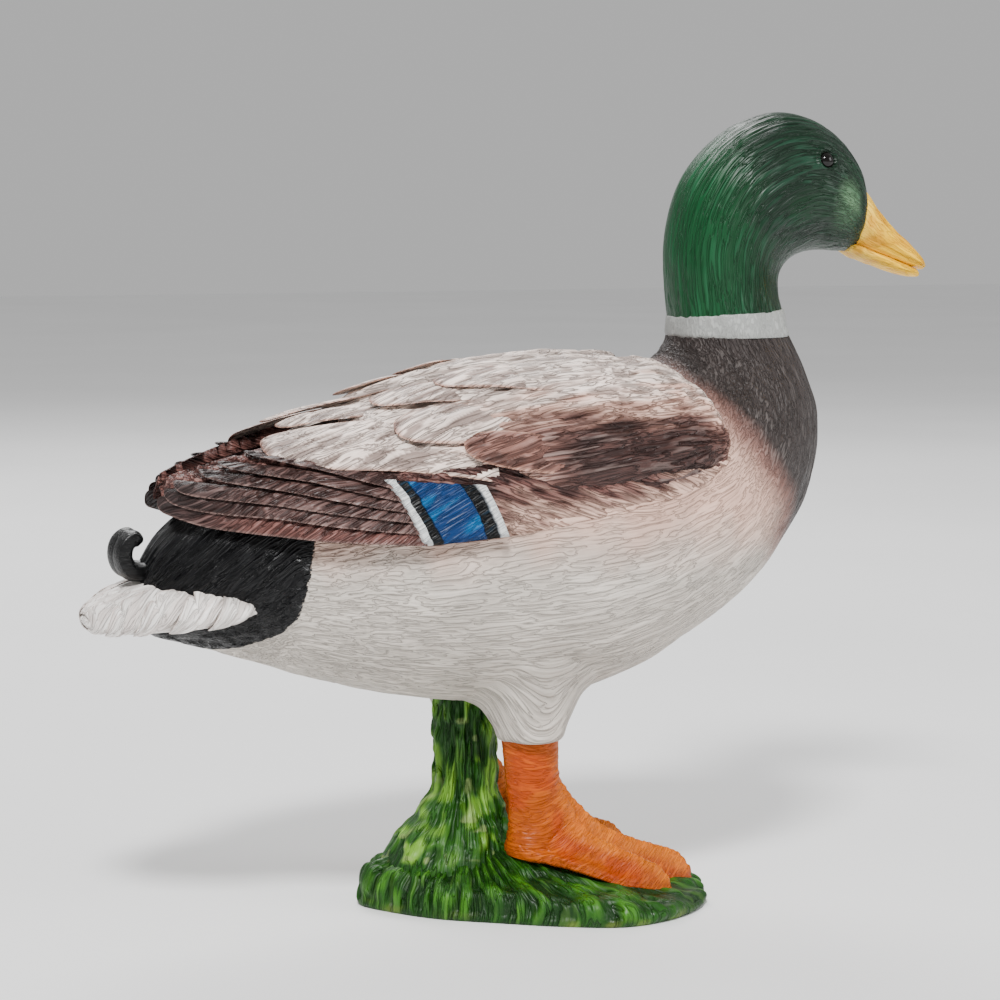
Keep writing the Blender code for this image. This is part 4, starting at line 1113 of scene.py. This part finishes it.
def foot_clearance(x, y):
    """0 under a foot and 1 well clear of both, from the foot's outline."""
    clear = 1.0
    for side in (1, -1):
        forward, aside = x - LEG_AXIS[side][0], side * (y - LEG_AXIS[side][1])
        inside = np.hypot(forward, aside) / foot_reach(np.arctan2(aside, forward))
        clear = clear * ramp(0.96, 1.16, inside)
    return clear


def sink_under_feet(grid):
    """How far the mound must drop so that a foot's sole just rests in it."""
    return np.maximum(grid[..., 2] - sole_height(grid[..., 0]) + 0.6, 0)


def make_tuft():
    """Grass tuft: a flaring column of overlapping blades, radius = profile(z) + drawn-out noise."""
    profile = np.array([(13, 33), (18, 31), (22.5, 28), (27, 23.5), (31, 19), (35, 16.5), (41, 11.5),
                        (50, 10.8), (62, 11), (73, 10.6), (79, 9.6)], float)
    rows, columns = 210, 330
    line = through(profile, np.linspace(0, len(profile) - 1, rows))
    turn = np.linspace(0, 2 * math.pi, columns, endpoint=False)
    rearward = 0.5 - 0.5 * np.cos(turn)
    z = line[:, 0][:, None] + 0 * turn
    radius = 11 + (line[:, 1][:, None] - 11) * (0.35 + 0.65 * rearward)
    ring = np.stack([np.cos(turn), np.sin(turn)], -1)
    along = np.stack([z / 15.0, *np.moveaxis(3.6 * ring + 0 * z[..., None], -1, 0)], -1)
    bend = noise(along * (0.8, 0.6, 0.6), 18) * 1.4
    big = ramp(0.3, 0.72, noise(along + np.stack([0 * z, bend, -bend], -1), 19))
    small = np.stack([z / 7.0, *np.moveaxis(9.0 * ring + 0 * z[..., None], -1, 0)], -1)
    fine = ramp(0.35, 0.7, noise(small + np.stack([0 * z, bend * 1.5, bend], -1), 20))
    leafy = noise(np.stack([TUFT_X + radius * ring[:, 0], radius * ring[:, 1], z], -1) / 3.2, 23)
    swell = (big * 2.8 + fine * 1.1 + leafy * 1.4 - 2.7) * ramp(12, 24, z)
    grid = np.stack([TUFT_X + (radius + swell) * ring[:, 0], (radius + swell) * 0.96 * ring[:, 1], z], -1)
    vivid = noise(grid / 5.0, 27)
    height = big * 0.6 + fine * 0.4
    fresh = ramp(0.35, 0.75, height) * ramp(0.3, 0.7, vivid)
    paint = blend(GRASS * np.ones(grid.shape), rgb(110, 160, 50), fresh)
    paint = blend(paint, rgb(20, 60, 16), ramp(0.4, 0.1, height) * 0.7)
    paint = blend(paint, rgb(150, 170, 104), ramp(0.72, 0.86, leafy) * 0.5)
    flow = small * (7, 1.4, 1.4)
    fields = {"flow": flow, "paint": paint, "groove": ramp(0.4, 0.1, height) * 0.5}
    skin("grass_tuft_blades", [(grid, fields)], MATERIALS["grass"], "grass_tuft")


# ---------------------------------------------------------------- hidden parts, stage, light and camera


def finish_hidden_parts():
    """Give the CAD parts that stay their own finishes."""
    steel = plain_finish("zinc_plated_steel", (0.55, 0.55, 0.57), 0.32, 1.0, 260.0, (1, 1, 0.1))
    timber = plain_finish("beech_wood", (0.45, 0.28, 0.14), 0.65, 0.0, 160.0, (1, 1, 0.08), 0.35)
    rubber = plain_finish("black_rubber", (0.02, 0.02, 0.021), 0.75, 0.0, 500.0)
    board = plain_finish("dark_base_board", (0.11, 0.1, 0.09), 0.8, 0.0, 300.0, (1, 0.15, 1), 0.35)
    stone = plain_finish("cast_ballast", (0.3, 0.28, 0.25), 0.9, 0.0, 420.0, (1, 1, 1), 0.4)
    finishes = {
        "tie_rod": steel, "tie_nut": steel, "tie_washer": steel, "anchor_nut": steel,
        "left_leg_rod": steel, "right_leg_rod": steel, "neck_dowel": timber, "anchor_block": timber,
        "access_plug": rubber, "base_plate": board, "base_ballast": stone,
    }
    for node, material in finishes.items():
        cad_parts[node].data.materials.clear()
        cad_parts[node].data.materials.append(material)


def make_stage():
    """A pale floor that is not part of the ornament."""
    mesh = bpy.data.meshes.new("studio_floor")
    size = 6.0
    corners = [(-size, -size, 0), (size, -size, 0), (size, size, 0), (-size, size, 0)]
    mesh.from_pydata(corners, [], [(0, 1, 2, 3)])
    mesh.materials.append(plain_finish("studio_white", (0.9, 0.9, 0.9), 0.9, 0.0, 3.0, (1, 1, 1), 0.02))
    floor = bpy.data.objects.new("studio_floor", mesh)
    bpy.context.scene.collection.objects.link(floor)


def add_light(name, place, size, power, target=(0, 0, 0.15)):
    """A square lamp at a place, turned to face the target."""
    light = bpy.data.lights.new(name, "AREA")
    light.shape = "SQUARE"
    light.size = size
    light.energy = power
    lamp = bpy.data.objects.new(name, light)
    lamp.location = place
    lamp.rotation_euler = (Vector(target) - Vector(place)).to_track_quat("-Z", "Y").to_euler()
    bpy.context.scene.collection.objects.link(lamp)


def make_light():
    """Soft studio light: a pale surround, a key lamp, a weaker fill and a lamp from behind."""
    world = bpy.data.worlds.new("soft_studio")
    world.use_nodes = True
    world.node_tree.nodes["Background"].inputs["Color"].default_value = (1, 1, 1, 1)
    world.node_tree.nodes["Background"].inputs["Strength"].default_value = 0.52
    bpy.context.scene.world = world
    add_light("key", (-0.7, -1.5, 2.0), 0.45, 78)
    add_light("fill", (1.6, -1.1, 0.9), 1.0, 16)
    add_light("back", (0.1, 1.5, 1.5), 0.9, 26)


def make_camera():
    """A long lens on the drake's right, a little behind it and a little above."""
    data = bpy.data.cameras.new("camera")
    data.lens = 108
    data.sensor_width = 36
    camera = bpy.data.objects.new("camera", data)
    target = Vector((-0.01265, 0, 0.1469))
    azimuth, elevation, distance = math.radians(-20), math.radians(6), 1.10
    back = Vector((
        math.sin(azimuth) * math.cos(elevation),
        -math.cos(azimuth) * math.cos(elevation),
        math.sin(elevation),
    ))
    camera.location = target + back * distance
    camera.rotation_euler = (-back).to_track_quat("-Z", "Y").to_euler()
    bpy.context.scene.collection.objects.link(camera)
    bpy.context.scene.camera = camera


MATERIALS = {
    "covert": painted("covert_brown_paint", (15, 1.8, 0.4), 2.4, 0.9, 0.6, (0.36, 0.55),
                      (0.66, 0.45, 0.38)),
    "scapular": painted("scapular_cream_paint", (17, 1.9, 0.45), 2.6, 0.9, 0.5, (0.36, 0.55),
                        (0.9, 0.8, 0.74)),
    "flight": painted("flight_feather_paint", (12, 1.3, 0.2), 1.8, 0.85, 0.7, (0.3, 0.46),
                      (0.36, 0.25, 0.23)),
    "speculum": painted("speculum_paint", (11, 1.1, 0.4), 0.9, 0.5, 0.3, (0.3, 0.44), (0.02, 0.25, 0.5),
                        (0.2, 0.25, 0.35), shine=0.22),
    "tail": painted("tail_white_paint", (14, 2.0, 0.3), 1.2, 0.4, 0.4, (0.36, 0.55), (0.9, 0.87, 0.84),
                    (0.42, 0.3, 0.27)),
    "leg": painted("leg_orange_paint", (8, 1.3, 0.5), 0.5, 0.5, 0.3, (0.32, 0.48), (0.75, 0.3, 0.0),
                   (0.4, 0.2, 0.06), shine=0.22),
    "grass": painted("grass_green_paint", (16, 1.4, 0.35), 1.6, 0.6, 0.5, (0.36, 0.56), (0.24, 0.42, 0.08),
                     (0.12, 0.22, 0.12)),
}
make_camera()
make_stage()
make_light()
finish_hidden_parts()
make_body()
make_head()
make_eyes()
make_ring()
make_bill()
for wing_name, wing_side in (("left", 1), ("right", -1)):
    make_wing(wing_name, wing_side)
    make_leg(wing_name, wing_side)
make_tail()
make_curls()
make_base()
make_tuft()
